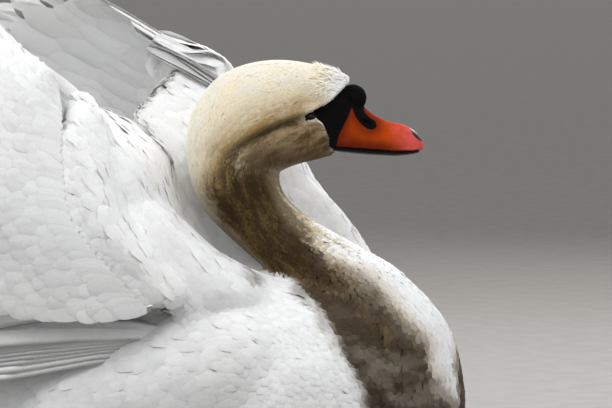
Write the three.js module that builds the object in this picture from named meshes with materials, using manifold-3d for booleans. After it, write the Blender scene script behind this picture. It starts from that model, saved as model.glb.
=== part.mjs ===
// A life-size mute swan, an adult male, sitting on its belly in the threat posture called busking:
// wings arched over the back, neck drawn back in an S and the head turned a little to its left.
// Millimetres. +X is forward, +Y the bird's left, +Z up. The origin is on the floor under the belly.
import * as THREE from "three";
import { mergeVertices } from "three/addons/utils/BufferGeometryUtils.js";
import Module from "manifold-3d";

const wasm = await Module();
wasm.setup();

// ---------- driving dimensions ----------

const GAP = 0.3; // clearance between neighbouring pieces
const LEFT = 1;
const RIGHT = -1;

const HEAD_YAW = THREE.MathUtils.degToRad(32); // the head looks this far to the left of the body
const EYE_MIDPOINT = new THREE.Vector3(93, 44, 429); // halfway between the eyes, origin of the head frame
const EYE_RADIUS = 6;
const EYE = { forward: 0.5, side: 28.5, up: 0.5 };

const SECONDARY_COUNT = 13; // feather tips round the raised edge of each wing
const SECONDARY_SCALLOP = 16; // how far the notches between those tips cut in
const TAIL_FEATHERS = 9;
const TAIL_SCALLOP = 12;

// Rows of each table run along the piece, and are joined by a smooth curve.
// Trunk: [forward, half width, bottom, top, squareness]. A bottom under 0 is pressed flat on the floor.
const TRUNK = [
  [-474, 8, 134, 148, 2],
  [-462, 28, 122, 158, 2],
  [-408, 60, 84, 182, 2.1],
  [-322, 104, 32, 218, 2.2],
  [-215, 144, 0, 252, 2.3],
  [-110, 163, -11, 272, 2.4],
  [0, 169, -12, 281, 2.5],
  [95, 166, -9, 281, 2.5],
  [170, 151, 4, 274, 2.4],
  [222, 122, 30, 250, 2.25],
  [254, 82, 66, 214, 2.1],
  [267, 34, 104, 172, 2],
  [269, 6, 130, 146, 2],
];

// Flank feathers on the right, which swell out over the folded wrist:
// [forward, left, up, half width, half height].
const FLANK = [
  [184, -84, 190, 16, 20],
  [146, -108, 190, 48, 58],
  [84, -126, 183, 60, 78],
  [10, -134, 165, 55, 72],
  [-70, -136, 138, 46, 58],
  [-150, -120, 112, 30, 42],
  [-226, -104, 106, 8, 12],
];

// Mantle, the raised feathers of the back between the wings: [forward, half width, bottom, top].
const MANTLE = [
  [22, 16, 262, 284],
  [-10, 58, 246, 330],
  [-56, 92, 240, 394],
  [-118, 104, 232, 412],
  [-190, 104, 226, 384],
  [-262, 92, 214, 326],
  [-334, 62, 204, 262],
  [-366, 16, 214, 236],
];

// Neck: [forward, left, up, depth, half width] of its centre line, from inside the breast upward.
const NECK = [
  [226, 0, 92, 46, 46],
  [236, 0, 128, 53, 52],
  [236, 0, 164, 55, 53],
  [222, 0, 207, 57, 53],
  [188, 0, 246, 50, 46],
  [147, 0, 274, 41, 38],
  [105, 0, 299, 35, 33],
];

// Top of the neck and the head with its feathers, in the head frame. Each section spans from the nape or
// crown to the throat or chin: [forward, up] of one end, [forward, up] of the other, half width, left.
const HEAD = [
  [-64, -134, -22, -80, 33, -20],
  [-105, -95, -28, -67, 36, -10],
  [-118, -66, -30, -60, 39, -4],
  [-122.5, -42, -29.8, -57.6, 41, -1],
  [-123, -21, -29.5, -57, 42, 0],
  [-118.5, -1, -29.5, -57, 42.5, 0],
  [-109, 18, -29.5, -57, 43, 0],
  [-94, 36, -29.5, -57, 43.5, 0],
  [-75, 47.5, -29.5, -57, 43.5, 0],
  [-53, 54, -28.5, -56, 43.5, 0],
  [-30, 56, -22, -52.5, 42, 0],
  [-8, 54, -8, -47.5, 39, 0],
  [12, 49.8, 12, -42.6, 34.5, 0],
  [27, 46, 27, -38.5, 28.5, 0],
  [38, 40.5, 38, -36, 22, 0],
  [43, 36.5, 43, -20, 14, 0],
  [44, 33, 44, 16, 5, 0],
];
const NECK_CUTS = [0.15, 0.29, 0.652]; // parts it into lower, middle and upper neck, and head
const NECK_ROUNDING = 0.96; // 1 is an ellipse, less is squarer

// Bare face and upper bill: [forward, half width, ridge, squareness].
const FACE = [
  [-12, 31, 24, 2.1],
  [6, 33, 38, 2.1],
  [20, 29.5, 40, 2.1],
  [32, 24.5, 36.5, 2],
  [42, 20.3, 28, 1.8],
  [52, 18, 12.5, 1.7],
  [62, 17, 3, 1.8],
  [72, 16.7, -2.8, 1.85],
  [82, 17.2, -6.4, 2],
  [92, 18, -8, 2.2],
  [100, 17.6, -11.5, 2.35],
  [107, 14.6, -16.6, 2.4],
  [112, 9.4, -23, 2.35],
  [114.2, 3.4, -28.6, 2.2],
];
// Edge of the mouth: [forward, up].
const MOUTH = [
  [0, -29],
  [30, -31.2],
  [60, -33.2],
  [85, -34.4],
  [120, -33],
];
// Lower bill: [forward, half width, depth below the edge of the mouth].
const LOWER_BILL = [
  [29.8, 14.6, 4],
  [38, 15.4, 4.7],
  [60, 14.6, 4.4],
  [90, 15.2, 3.9],
  [103, 13.6, 3.4],
  [109, 8.5, 2.6],
  [110.5, 3, 1.6],
];
const BARE_BORDER = { forward: 34.5, up: -11, tilt: THREE.MathUtils.degToRad(23) }; // black base to orange bill
const KNOB = { forward: 43.5, up: 18, length: 14, width: 12.5, height: 13.6 };
const NAIL = { forward: 107.5, length: 9.5, width: 7, depth: 11 };

// Outline, seen from the side, of the bare black skin from the eye to the bill: [forward, up].
const LORES_OUTLINE = [
  [-6, 1],
  [8.6, 9.7],
  [20, 18],
  [38.5, 33],
  [50, 44],
  [130, 44],
  [130, -60],
  [28.8, -60],
  [26.5, -36.5],
  [23, -33],
  [20, -23.5],
  [15, -12],
  [7, -4],
];

// One raised wing, on the right. Feathers run from the forearm, between wrist and elbow, to the tips:
// [forward, left, up], the lowest feather first.
const FOREARM = [
  [66, -184, 256],
  [30, -194, 292],
  [-12, -198, 332],
  [-38, -184, 386],
  [-57, -165, 428],
  [-76, -146, 460],
];
const WING_TIPS = [
  [-470, -92, 202],
  [-512, -88, 286],
  [-500, -90, 384],
  [-438, -95, 470],
  [-344, -101, 529],
  [-240, -108, 549],
  [-138, -118, 502],
];
const WING_BULGE = [78, 64, 22]; // outward swell of the lowest, middle and highest feathers
const WING_THICKNESS = [14, 36, 34, 22, 12, 7, 5]; // from the leading edge to the tips

// Folded hand feathers of the right wing: [forward, left, up, half width, half thickness].
const PRIMARIES = [
  [84, -140, 222, 8, 6],
  [30, -166, 224, 18, 9],
  [-50, -182, 217, 28, 9],
  [-140, -180, 204, 35, 9],
  [-240, -157, 194, 38, 8],
  [-340, -120, 192, 36, 7],
  [-425, -82, 198, 29, 5.5],
  [-494, -50, 206, 18, 4],
  [-536, -30, 212, 7, 3],
];
const PRIMARY_LEAN = [0.1, 0.95]; // radians from upright, at the wrist and at the tips

// Raised shoulder feathers (scapulars) on the right: three lines of [forward, left, up] from the
// shoulder to the tips, along the spine, over the crest and tucked in beside the wing.
const SCAPULAR_SPINE = [
  [126, -13, 262],
  [30, -13, 280],
  [-24, -14, 340],
  [-44, -16, 402],
  [-128, -16, 430],
];
const SCAPULAR_CREST = [
  [118, -132, 278],
  [66, -144, 322],
  [22, -142, 376],
  [-24, -136, 428],
  [-112, -110, 484],
];
const SCAPULAR_SIDE = [
  [84, -166, 248],
  [-2, -172, 304],
  [-52, -156, 352],
  [-82, -134, 420],
  [-132, -112, 474],
];
const SCAPULAR_THICKNESS = [8, 30, 32, 26, 20, 8]; // from the shoulder to the tips
const SCAPULAR_LOBES = [0, 0.42, 0.76, 1.04]; // where one mass of feathers ends over the next
const SCAPULAR_SWELL = 8;
const SCAPULAR_TIP_ARC = 46; // how far the middle of the tips outreaches their ends

// Tail: [back, half width, middle height, half thickness].
const TAIL = [
  [-396, 48, 138, 26],
  [-436, 54, 144, 20],
  [-484, 60, 156, 11],
  [-534, 58, 170, 6],
  [-574, 44, 182, 3],
];
const TAIL_POINT = 34; // how far the middle feathers outreach the outer ones
const TAIL_DROOP = 16; // how far the outer feathers hang below the middle ones

// Left foot, tucked forward beside the belly with its sole on the floor: [forward, left, up].
const HEEL = [-248, 96, 13];
const TOE_JOINT = [-146, 110, 9];
const SHANK_RADIUS = [12, 8.5];
const TOE_TIPS = [
  [-42, 78, 5],
  [-8, 112, 5.5],
  [-34, 146, 5],
];
const TOE_HEIGHT = [13, 8]; // at the joint and at the tips
const TOE_SPREAD = 9; // half the width of the foot at the joint
const WEB_THICKNESS = 3;
const WEB_NOTCH = 0.1; // how far the edge of the web stops short of the toes
const CLAW_LENGTH = 12;
const HIND_TOE = [-186, 84, 5];

// ---------- curves and solids ----------

// The value of every column of a table at share t of its length, on a Catmull-Rom curve.
function along(table, t) {
  const place = THREE.MathUtils.clamp(t, 0, 1) * (table.length - 1);
  const i = Math.min(Math.floor(place), table.length - 2);
  const f = place - i;
  const row = (k) => table[THREE.MathUtils.clamp(k, 0, table.length - 1)];
  return table[0].map((_, column) => {
    const [a, b, c, d] = [row(i - 1), row(i), row(i + 1), row(i + 2)].map((r) => r[column]);
    return b + 0.5 * f * (c - a + f * (2 * a - 5 * b + 4 * c - d + f * (3 * (b - c) + d - a)));
  });
}

// The same for a plain list of numbers.
const alongList = (list, t) => along(list.map((value) => [value]), t)[0];

const signedPower = (value, power) => Math.sign(value) * Math.abs(value) ** power;

// Moves every vertex of a geometry to place(x, y, z), and merges those that meet.
function shaped(geometry, place) {
  geometry.deleteAttribute("normal");
  geometry.deleteAttribute("uv");
  const merged = mergeVertices(geometry, 1e-4);
  const position = merged.getAttribute("position");
  for (let i = 0; i < position.count; i++) {
    const p = place(position.getX(i), position.getY(i), position.getZ(i));
    position.setXYZ(i, p.x, p.y, p.z);
  }
  return facingOut(mergeVertices(merged, 1e-4));
}

// Turns every face round if the solid is inside out, as a mirrored one is.
function facingOut(geometry) {
  const p = geometry.getAttribute("position");
  const index = geometry.index.array;
  const [a, b, c] = [new THREE.Vector3(), new THREE.Vector3(), new THREE.Vector3()];
  let volume = 0;
  for (let i = 0; i < index.length; i += 3) {
    a.fromBufferAttribute(p, index[i]);
    b.fromBufferAttribute(p, index[i + 1]);
    c.fromBufferAttribute(p, index[i + 2]);
    volume += a.dot(b.cross(c));
  }
  if (volume < 0) {
    for (let i = 0; i < index.length; i += 3) {
      [index[i + 1], index[i + 2]] = [index[i + 2], index[i + 1]];
    }
  }
  return geometry;
}

// A closed tube: place(share of the length, angle, share of the radius) gives each point.
function tube(around, lengthwise, place) {
  const cylinder = new THREE.CylinderGeometry(1, 1, 1, around, lengthwise);
  return shaped(cylinder, (x, y, z) => place(y + 0.5, Math.atan2(x, z), Math.hypot(x, z)));
}

// A closed plate: place(across from 0 to 1, along from 0 to 1, 1 outside or -1 inside) gives each point.
function plate(across, lengthwise, place) {
  const box = new THREE.BoxGeometry(1, 1, 2, across, lengthwise, 1);
  return shaped(box, (x, y, z) => place(x + 0.5, y + 0.5, z));
}

// The geometry swollen by a small distance, to cut a neighbour with clearance.
function grown(geometry, distance = GAP) {
  const copy = geometry.clone();
  copy.computeVertexNormals();
  const position = copy.getAttribute("position");
  const normal = copy.getAttribute("normal");
  for (let i = 0; i < position.count; i++) {
    position.setXYZ(
      i,
      position.getX(i) + normal.getX(i) * distance,
      position.getY(i) + normal.getY(i) * distance,
      position.getZ(i) + normal.getZ(i) * distance,
    );
  }
  copy.deleteAttribute("normal");
  return copy;
}

function solid(geometry) {
  return new wasm.Manifold(
    new wasm.Mesh({
      numProp: 3,
      vertProperties: new Float32Array(geometry.getAttribute("position").array),
      triVerts: new Uint32Array(geometry.index.array),
    }),
  );
}

function geometryOf(manifold) {
  const mesh = manifold.getMesh();
  return new THREE.BufferGeometry()
    .setAttribute("position", new THREE.BufferAttribute(mesh.vertProperties, 3))
    .setIndex(new THREE.BufferAttribute(mesh.triVerts, 1));
}

// Adds and cuts solids given as geometries.
const joined = (...geometries) => geometryOf(geometries.map(solid).reduce((all, one) => all.add(one)));
const cut = (geometry, ...tools) => geometryOf(tools.reduce((left, tool) => left.subtract(solid(tool)), solid(geometry)));
const common = (geometry, tool) => geometryOf(solid(geometry).intersect(solid(tool)));

// A block across the head frame that fills the space ahead of a tilted upright plane.
function blockAhead({ forward, up, tilt }, margin = 0) {
  const size = 300;
  const block = new THREE.BoxGeometry(size + 2 * margin, size, size);
  block.translate(size / 2, 0, 0);
  block.rotateY(tilt);
  block.translate(forward, 0, up);
  return shaped(block, (x, y, z) => new THREE.Vector3(x, y, z));
}

const fromHeadFrame = new THREE.Matrix4().makeRotationZ(HEAD_YAW).setPosition(EYE_MIDPOINT);
const toHeadFrame = fromHeadFrame.clone().invert();

// ---------- trunk and neck ----------

// A rounded body along X: section(t) gives [forward, half width, bottom, top, squareness].
function bodyTube(around, lengthwise, section) {
  return tube(around, lengthwise, (t, angle, r) => {
    const [forward, halfWidth, bottom, top, squareness = 2.1] = section(t);
    const power = 2 / squareness;
    const up = (top + bottom) / 2 + ((top - bottom) / 2) * r * signedPower(Math.sin(angle), power);
    const side = halfWidth * r * signedPower(Math.cos(angle), power);
    return new THREE.Vector3(forward, side, up);
  });
}

function trunkShape() {
  return shaped(
    bodyTube(24, 18, (t) => along(TRUNK, t)),
    (x, y, z) => new THREE.Vector3(x, y, Math.max(z, 0)),
  );
}

const mantleShape = () => bodyTube(14, 8, (t) => along(MANTLE, t));

function flankShape(side) {
  return tube(12, 8, (t, angle, r) => {
    const [forward, left, up, halfWidth, halfHeight] = along(FLANK, t);
    const across = -side * (left - r * halfWidth * Math.cos(angle));
    return new THREE.Vector3(forward, across, up + r * halfHeight * Math.sin(angle));
  });
}

// Sections across the neck and head: the nape end, the throat end and half the width of each.
function neckAndHeadSections() {
  const centres = NECK.map((row) => new THREE.Vector3(...row.slice(0, 3)));
  const neck = NECK.map(([, , , depth, halfWidth], i) => {
    const before = centres[Math.max(i - 1, 0)];
    const after = centres[Math.min(i + 1, centres.length - 1)];
    const reach = after.clone().sub(before).cross(new THREE.Vector3(0, 1, 0)).setLength(depth);
    const nape = centres[i].clone().add(reach);
    const throat = centres[i].clone().sub(reach);
    return [...nape, ...throat, halfWidth];
  });
  const head = HEAD.map(([napeForward, napeUp, throatForward, throatUp, halfWidth, left]) => {
    const nape = new THREE.Vector3(napeForward, left, napeUp).applyMatrix4(fromHeadFrame);
    const throat = new THREE.Vector3(throatForward, left, throatUp).applyMatrix4(fromHeadFrame);
    return [...nape, ...throat, halfWidth];
  });
  return [...neck, ...head];
}

function neckShape(from, to, lengthwise) {
  const sections = neckAndHeadSections();
  const section = (t) => {
    const row = along(sections, t);
    return { nape: new THREE.Vector3(...row), throat: new THREE.Vector3(...row.slice(3)), halfWidth: row[6] };
  };
  const centre = (t) => {
    const { nape, throat } = section(t);
    return nape.add(throat).multiplyScalar(0.5);
  };
  const step = 0.004;
  return tube(18, lengthwise, (share, angle, r) => {
    const t = from + (to - from) * share;
    const { nape, throat, halfWidth } = section(t);
    const reach = nape.clone().sub(throat).multiplyScalar(0.5);
    const run = centre(Math.min(t + step, 1)).sub(centre(Math.max(t - step, 0)));
    const left = reach.clone().cross(run).setLength(halfWidth);
    return centre(t)
      .addScaledVector(left, r * signedPower(Math.cos(angle), NECK_ROUNDING))
      .addScaledVector(reach, r * signedPower(Math.sin(angle), NECK_ROUNDING));
  });
}

// ---------- head ----------

function mouthHeight(forward) {
  let i = 0;
  while (i < MOUTH.length - 2 && MOUTH[i + 1][0] < forward) i++;
  const [from, to] = [MOUTH[i], MOUTH[i + 1]];
  return THREE.MathUtils.mapLinear(forward, from[0], to[0], from[1], to[1]);
}

// The arched upper half of a section stands on the flat edge of the mouth.
function faceShape() {
  return tube(14, 14, (t, angle, r) => {
    const [forward, halfWidth, ridge, squareness] = along(FACE, t);
    const power = 2 / squareness;
    const mouth = mouthHeight(forward);
    const rise = Math.max(Math.sin(angle), 0) ** power;
    const side = Math.sin(angle) > 0 ? signedPower(Math.cos(angle), power) : Math.cos(angle);
    return new THREE.Vector3(forward, halfWidth * r * side, mouth + (ridge - mouth) * r * rise);
  });
}

function lowerBillShape() {
  return tube(10, 8, (t, angle, r) => {
    const [forward, halfWidth, depth] = along(LOWER_BILL, t);
    const drop = depth * Math.max(-Math.sin(angle), 0);
    return new THREE.Vector3(forward, halfWidth * r * Math.cos(angle), mouthHeight(forward) - GAP - drop * r);
  });
}

function ellipsoid(centre, size, around = 12) {
  const ball = new THREE.SphereGeometry(1, around, Math.round(around * 0.7));
  return shaped(ball, (x, y, z) => {
    return new THREE.Vector3(centre.x + x * size.x, centre.y + y * size.y, centre.z + z * size.z);
  });
}

// A side outline pushed straight through the head.
function loresPrism() {
  const outline = new THREE.Shape(LORES_OUTLINE.map(([forward, up]) => new THREE.Vector2(forward, up)));
  const prism = new THREE.ExtrudeGeometry(outline, { depth: 120, bevelEnabled: false });
  return shaped(prism, (x, y, z) => new THREE.Vector3(x, z - 60, y));
}

function eyeShape(side) {
  const centre = new THREE.Vector3(EYE.forward, side * EYE.side, EYE.up);
  return ellipsoid(centre, new THREE.Vector3(EYE_RADIUS, EYE_RADIUS, EYE_RADIUS), 10);
}

function headPieces() {
  const upperNeck = neckShape(NECK_CUTS[1], NECK_CUTS[2], 9).applyMatrix4(toHeadFrame);
  const feathered = neckShape(NECK_CUTS[2], 1, 11).applyMatrix4(toHeadFrame);
  const lores = loresPrism();
  const eyes = [RIGHT, LEFT].map(eyeShape);
  const face = faceShape();
  const knob = ellipsoid(
    new THREE.Vector3(KNOB.forward, 0, KNOB.up),
    new THREE.Vector3(KNOB.length, KNOB.width, KNOB.height),
  );
  const nailBlock = ellipsoid(
    new THREE.Vector3(NAIL.forward, 0, mouthHeight(NAIL.forward) + NAIL.depth + 3),
    new THREE.Vector3(NAIL.length, NAIL.width, NAIL.depth),
    8,
  );
  const bill = cut(common(face, blockAhead(BARE_BORDER)), grown(knob));
  const lowerBill = lowerBillShape();
  const bareFace = common(cut(face, blockAhead(BARE_BORDER, GAP)), lores);
  return {
    neck_upper: cut(upperNeck, grown(feathered)),
    head: cut(feathered, grown(lores), ...eyes.map((eye) => grown(eye))),
    lores_and_knob: cut(joined(bareFace, knob), ...eyes.map((eye) => grown(eye))),
    bill_upper: cut(bill, grown(nailBlock)),
    bill_nail: common(bill, nailBlock),
    bill_lower: lowerBill,
    eye_right: eyes[0],
    eye_left: eyes[1],
  };
}

// ---------- wings, shoulder feathers and tail ----------

// How far back a row of rounded feather tips stops short, at share q of the row.
function scallop(q, count, depth) {
  const across = 2 * ((q * count) % 1) - 1;
  return depth * (1 - Math.sqrt(Math.max(1 - across * across, 0)));
}

// A point in the middle of the wing's web: q picks the feather, t runs from forearm to tip.
function wingWeb(q, t) {
  const root = new THREE.Vector3(...along(FOREARM, q));
  const tip = new THREE.Vector3(...along(WING_TIPS, q));
  const swell = root.clone().lerp(tip, 0.46);
  swell.y -= alongList(WING_BULGE, q);
  const short = scallop(q * 0.99999, SECONDARY_COUNT, SECONDARY_SCALLOP);
  tip.addScaledVector(tip.clone().sub(swell).normalize(), -short);
  return new THREE.QuadraticBezierCurve3(root, swell, tip).getPoint(t);
}

function offsetFrom(web, q, t, distance) {
  const step = 0.01;
  const acrossWeb = web(Math.min(q + step, 1), t).sub(web(Math.max(q - step, 0), t));
  const alongWeb = web(q, Math.min(t + step, 1)).sub(web(q, Math.max(t - step, 0)));
  return web(q, t).addScaledVector(alongWeb.cross(acrossWeb).normalize(), distance);
}

function wingShape() {
  const smoothWeb = (q, t) => {
    const root = new THREE.Vector3(...along(FOREARM, q));
    const tip = new THREE.Vector3(...along(WING_TIPS, q));
    const swell = root.clone().lerp(tip, 0.46);
    swell.y -= alongList(WING_BULGE, q);
    return new THREE.QuadraticBezierCurve3(root, swell, tip).getPoint(t);
  };
  return plate(SECONDARY_COUNT * 2, 6, (q, t, side) => {
    const point = wingWeb(q, t);
    const thickness = alongList(WING_THICKNESS, t);
    const lifted = offsetFrom(smoothWeb, q, t, (side * thickness) / 2);
    return point.add(lifted.sub(smoothWeb(q, t)));
  });
}

function primariesShape() {
  return tube(10, 12, (t, angle, r) => {
    const [forward, left, up, halfWidth, halfThickness] = along(PRIMARIES, t);
    const lean = THREE.MathUtils.lerp(PRIMARY_LEAN[0], PRIMARY_LEAN[1], t);
    const wide = r * halfWidth * Math.sin(angle);
    const thick = r * halfThickness * Math.cos(angle);
    const side = left + wide * Math.sin(lean) - thick * Math.cos(lean);
    return new THREE.Vector3(forward, side, up + wide * Math.cos(lean) + thick * Math.sin(lean));
  });
}

function scapularWeb(q, t) {
  const [spine, crest, side] = [SCAPULAR_SPINE, SCAPULAR_CREST, SCAPULAR_SIDE].map((line) => along(line, t));
  return new THREE.Vector3(...along([spine, crest, side], q));
}

// How far the outside swells at share t of the way up: one rounded mass after another.
function lobeSwell(t) {
  const i = SCAPULAR_LOBES.findLastIndex((start) => start <= t);
  const [start, end] = SCAPULAR_LOBES.slice(i, i + 2);
  return (SCAPULAR_SWELL * 4 * (t - start) * (end - t)) / (end - start) ** 2;
}

function scapularShape() {
  return plate(7, 10, (q, t, side) => {
    const height = side > 0 ? lobeSwell(t) : -alongList(SCAPULAR_THICKNESS, t);
    const point = offsetFrom(scapularWeb, q, t, height);
    point.x -= SCAPULAR_TIP_ARC * t ** 3 * 4 * q * (1 - q);
    return point;
  });
}

function tailShape() {
  return plate(TAIL_FEATHERS * 2, 4, (q, t, side) => {
    const across = 2 * q - 1;
    const [back, halfWidth, middle, halfThickness] = along(TAIL, t);
    const short = TAIL_POINT * across * across + scallop(q * 0.99999, TAIL_FEATHERS, TAIL_SCALLOP);
    const droop = TAIL_DROOP * across * across * t;
    return new THREE.Vector3(back + short * t, across * halfWidth, middle - droop + side * halfThickness);
  });
}

// ---------- feet ----------

// A rounded bar between two points whose underside is flat on the floor.
function bar(from, to, radiusFrom, radiusTo, lengthwise) {
  const start = new THREE.Vector3(...from);
  const end = new THREE.Vector3(...to);
  const run = end.clone().sub(start).normalize();
  const side = new THREE.Vector3(-run.y, run.x, 0).normalize();
  const up = run.clone().cross(side);
  return tube(6, lengthwise, (t, angle, r) => {
    const swell = THREE.MathUtils.lerp(radiusFrom, radiusTo, t) * Math.sin(Math.PI * (0.12 + 0.76 * t)) ** 0.35;
    const point = start.clone().lerp(end, t);
    point.addScaledVector(side, r * swell * Math.cos(angle));
    point.addScaledVector(up, r * swell * Math.sin(angle));
    point.z = Math.max(point.z, 0);
    return point;
  });
}

// Three toes joined by webs, as one plate that is thick along each toe.
function toesShape() {
  return plate(8, 3, (q, t, side) => {
    const between = Math.abs(Math.sin(2 * Math.PI * q));
    const root = new THREE.Vector3(...TOE_JOINT);
    root.y += (2 * q - 1) * TOE_SPREAD;
    const point = root.lerp(new THREE.Vector3(...along(TOE_TIPS, q)), t * (1 - WEB_NOTCH * between));
    const toeHeight = THREE.MathUtils.lerp(...TOE_HEIGHT, t);
    point.z = side > 0 ? THREE.MathUtils.lerp(toeHeight, WEB_THICKNESS, between * t) : 0;
    return point;
  });
}

function footShape() {
  const joint = new THREE.Vector3(...TOE_JOINT);
  const claws = TOE_TIPS.map((tip) => {
    const start = new THREE.Vector3(...tip).lerp(joint, 0.08);
    const end = new THREE.Vector3(...tip).add(new THREE.Vector3(...tip).sub(joint).setLength(CLAW_LENGTH));
    return bar(start.toArray(), [end.x, end.y, 1.5], 4.5, 1.6, 2);
  });
  const hindToe = bar(TOE_JOINT, HIND_TOE, 4, 4, 2);
  return joined(toesShape(), bar(HEEL, TOE_JOINT, ...SHANK_RADIUS, 3), hindToe, ...claws);
}

// ---------- materials ----------

const finish = (color, roughness, metalness = 0) => new THREE.MeshStandardMaterial({ color, roughness, metalness });
const MATERIALS = {
  white: finish("#f3f2ee", 0.85),
  cream: finish("#e9dcc0", 0.85),
  buff: finish("#ecd9ac", 0.8),
  black_skin: finish("#14120f", 0.55),
  orange_bill: finish("#d6561c", 0.4),
  black_bill: finish("#1a1718", 0.4),
  eye: finish("#1c120c", 0.08),
  grey_skin: finish("#3a3a3b", 0.6),
};

const FINISH_OF = {
  neck_middle: "cream",
  neck_upper: "cream",
  head: "buff",
  lores_and_knob: "black_skin",
  bill_upper: "orange_bill",
  bill_nail: "black_bill",
  bill_lower: "black_bill",
  eye_right: "eye",
  eye_left: "eye",
  foot_right: "grey_skin",
  foot_left: "grey_skin",
};

// ---------- assembly ----------

function mirrored(geometry) {
  return shaped(geometry.clone(), (x, y, z) => new THREE.Vector3(x, -y, z));
}

function addPieces(group, pieces) {
  for (const [name, geometry] of Object.entries(pieces)) {
    const mesh = new THREE.Mesh(geometry, MATERIALS[FINISH_OF[name] ?? "white"]);
    mesh.name = name;
    group.add(mesh);
  }
}

const trunk = joined(trunkShape(), flankShape(LEFT), flankShape(RIGHT));
const mantle = cut(mantleShape(), grown(trunk));
const neckGap = GAP / 1100;
const lowerNeck = neckShape(0, NECK_CUTS[0], 7);
const middleNeck = neckShape(NECK_CUTS[0] + neckGap, NECK_CUTS[1] - neckGap, 6);

const scapulars = cut(scapularShape(), grown(trunk), grown(mantleShape(), 3 * GAP));
const wing = cut(wingShape(), grown(trunk), grown(scapularShape()), grown(mantleShape(), 3 * GAP));
const primaries = cut(primariesShape(), grown(trunk), grown(wingShape()));
const tail = cut(tailShape(), grown(trunk));
const footLeft = cut(footShape(), grown(trunk));

const swan = new THREE.Group();
addPieces(swan, {
  trunk,
  mantle,
  tail,
  neck_lower: cut(lowerNeck, grown(trunk)),
  neck_middle: cut(middleNeck, grown(trunk)),
  scapulars_right: scapulars,
  scapulars_left: mirrored(scapulars),
  wing_right: wing,
  wing_left: mirrored(wing),
  primaries_right: primaries,
  primaries_left: mirrored(primaries),
  foot_left: footLeft,
  foot_right: mirrored(footLeft),
});

const headGroup = new THREE.Group();
headGroup.position.copy(EYE_MIDPOINT);
headGroup.rotation.z = HEAD_YAW;
addPieces(headGroup, headPieces());
swan.add(headGroup);

export default swan;
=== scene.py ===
import math

import bpy
import numpy as np
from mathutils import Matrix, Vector
from mathutils.bvhtree import BVHTree
from mathutils.kdtree import KDTree


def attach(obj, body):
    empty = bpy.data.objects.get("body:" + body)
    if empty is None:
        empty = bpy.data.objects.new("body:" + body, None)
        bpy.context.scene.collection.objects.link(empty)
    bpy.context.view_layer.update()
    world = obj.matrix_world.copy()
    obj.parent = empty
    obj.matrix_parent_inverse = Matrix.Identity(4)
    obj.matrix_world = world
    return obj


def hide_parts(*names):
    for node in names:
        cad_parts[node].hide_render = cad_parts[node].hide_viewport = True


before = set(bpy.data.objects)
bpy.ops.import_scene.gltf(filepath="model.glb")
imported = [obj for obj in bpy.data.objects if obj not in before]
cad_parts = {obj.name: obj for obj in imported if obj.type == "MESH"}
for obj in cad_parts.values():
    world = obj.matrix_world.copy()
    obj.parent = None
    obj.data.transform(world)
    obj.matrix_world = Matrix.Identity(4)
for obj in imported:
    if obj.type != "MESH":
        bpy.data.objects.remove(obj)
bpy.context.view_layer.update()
rng = np.random.default_rng(1808)

MM = 0.001
RIGHT = -1
LEFT = 1

# ---------- the forms under the coat, as in the solids ----------

HEAD_YAW = math.radians(32)
EYE_MIDPOINT = np.array([93.0, 44.0, 429.0])
EYE_RADIUS = 6.0
EYE = {"forward": 0.5, "side": 28.5, "up": 0.5}

# [forward, half width, bottom, top, squareness]
TRUNK = np.array([
    [-474, 8, 134, 148, 2], [-462, 28, 122, 158, 2], [-408, 60, 84, 182, 2.1],
    [-322, 104, 32, 218, 2.2], [-215, 144, 0, 252, 2.3], [-110, 163, -11, 272, 2.4],
    [0, 169, -12, 281, 2.5], [95, 166, -9, 281, 2.5], [170, 151, 4, 274, 2.4],
    [222, 122, 30, 250, 2.25], [254, 82, 66, 214, 2.1], [267, 34, 104, 172, 2], [269, 6, 130, 146, 2],
])
# [forward, left, up, half width, half height]
FLANK = np.array([
    [184, -84, 190, 16, 20], [146, -108, 190, 48, 58], [84, -126, 183, 60, 78], [10, -134, 165, 55, 72],
    [-70, -136, 138, 46, 58], [-150, -120, 112, 30, 42], [-226, -104, 106, 8, 12],
])
# [forward, half width, bottom, top]
MANTLE = np.array([
    [22, 16, 262, 284], [-10, 58, 246, 330], [-56, 92, 240, 394], [-118, 104, 232, 412],
    [-190, 104, 226, 384], [-262, 92, 214, 326], [-334, 62, 204, 262], [-366, 16, 214, 236],
])
# [forward, left, up, depth, half width]
NECK = np.array([
    [226, 0, 92, 46, 46], [236, 0, 128, 53, 52], [236, 0, 164, 55, 53], [222, 0, 207, 57, 53],
    [188, 0, 246, 50, 46], [147, 0, 274, 41, 38], [105, 0, 299, 35, 33],
])
# In the head frame: [nape forward, nape up, throat forward, throat up, half width, left]
HEAD = np.array([
    [-64, -134, -22, -80, 33, -20], [-105, -95, -28, -67, 36, -10], [-118, -66, -30, -60, 39, -4],
    [-122.5, -42, -29.8, -57.6, 41, -1], [-123, -21, -29.5, -57, 42, 0], [-118.5, -1, -29.5, -57, 42.5, 0],
    [-109, 18, -29.5, -57, 43, 0], [-94, 36, -29.5, -57, 43.5, 0], [-75, 47.5, -29.5, -57, 43.5, 0],
    [-53, 54, -28.5, -56, 43.5, 0], [-30, 56, -22, -52.5, 42, 0], [-8, 54, -8, -47.5, 39, 0],
    [12, 49.8, 12, -42.6, 34.5, 0], [27, 46, 27, -38.5, 28.5, 0], [38, 40.5, 38, -36, 22, 0],
    [43, 36.5, 43, -20, 14, 0], [44, 33, 44, 16, 5, 0],
])
NECK_ROUNDING = 0.96

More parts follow.
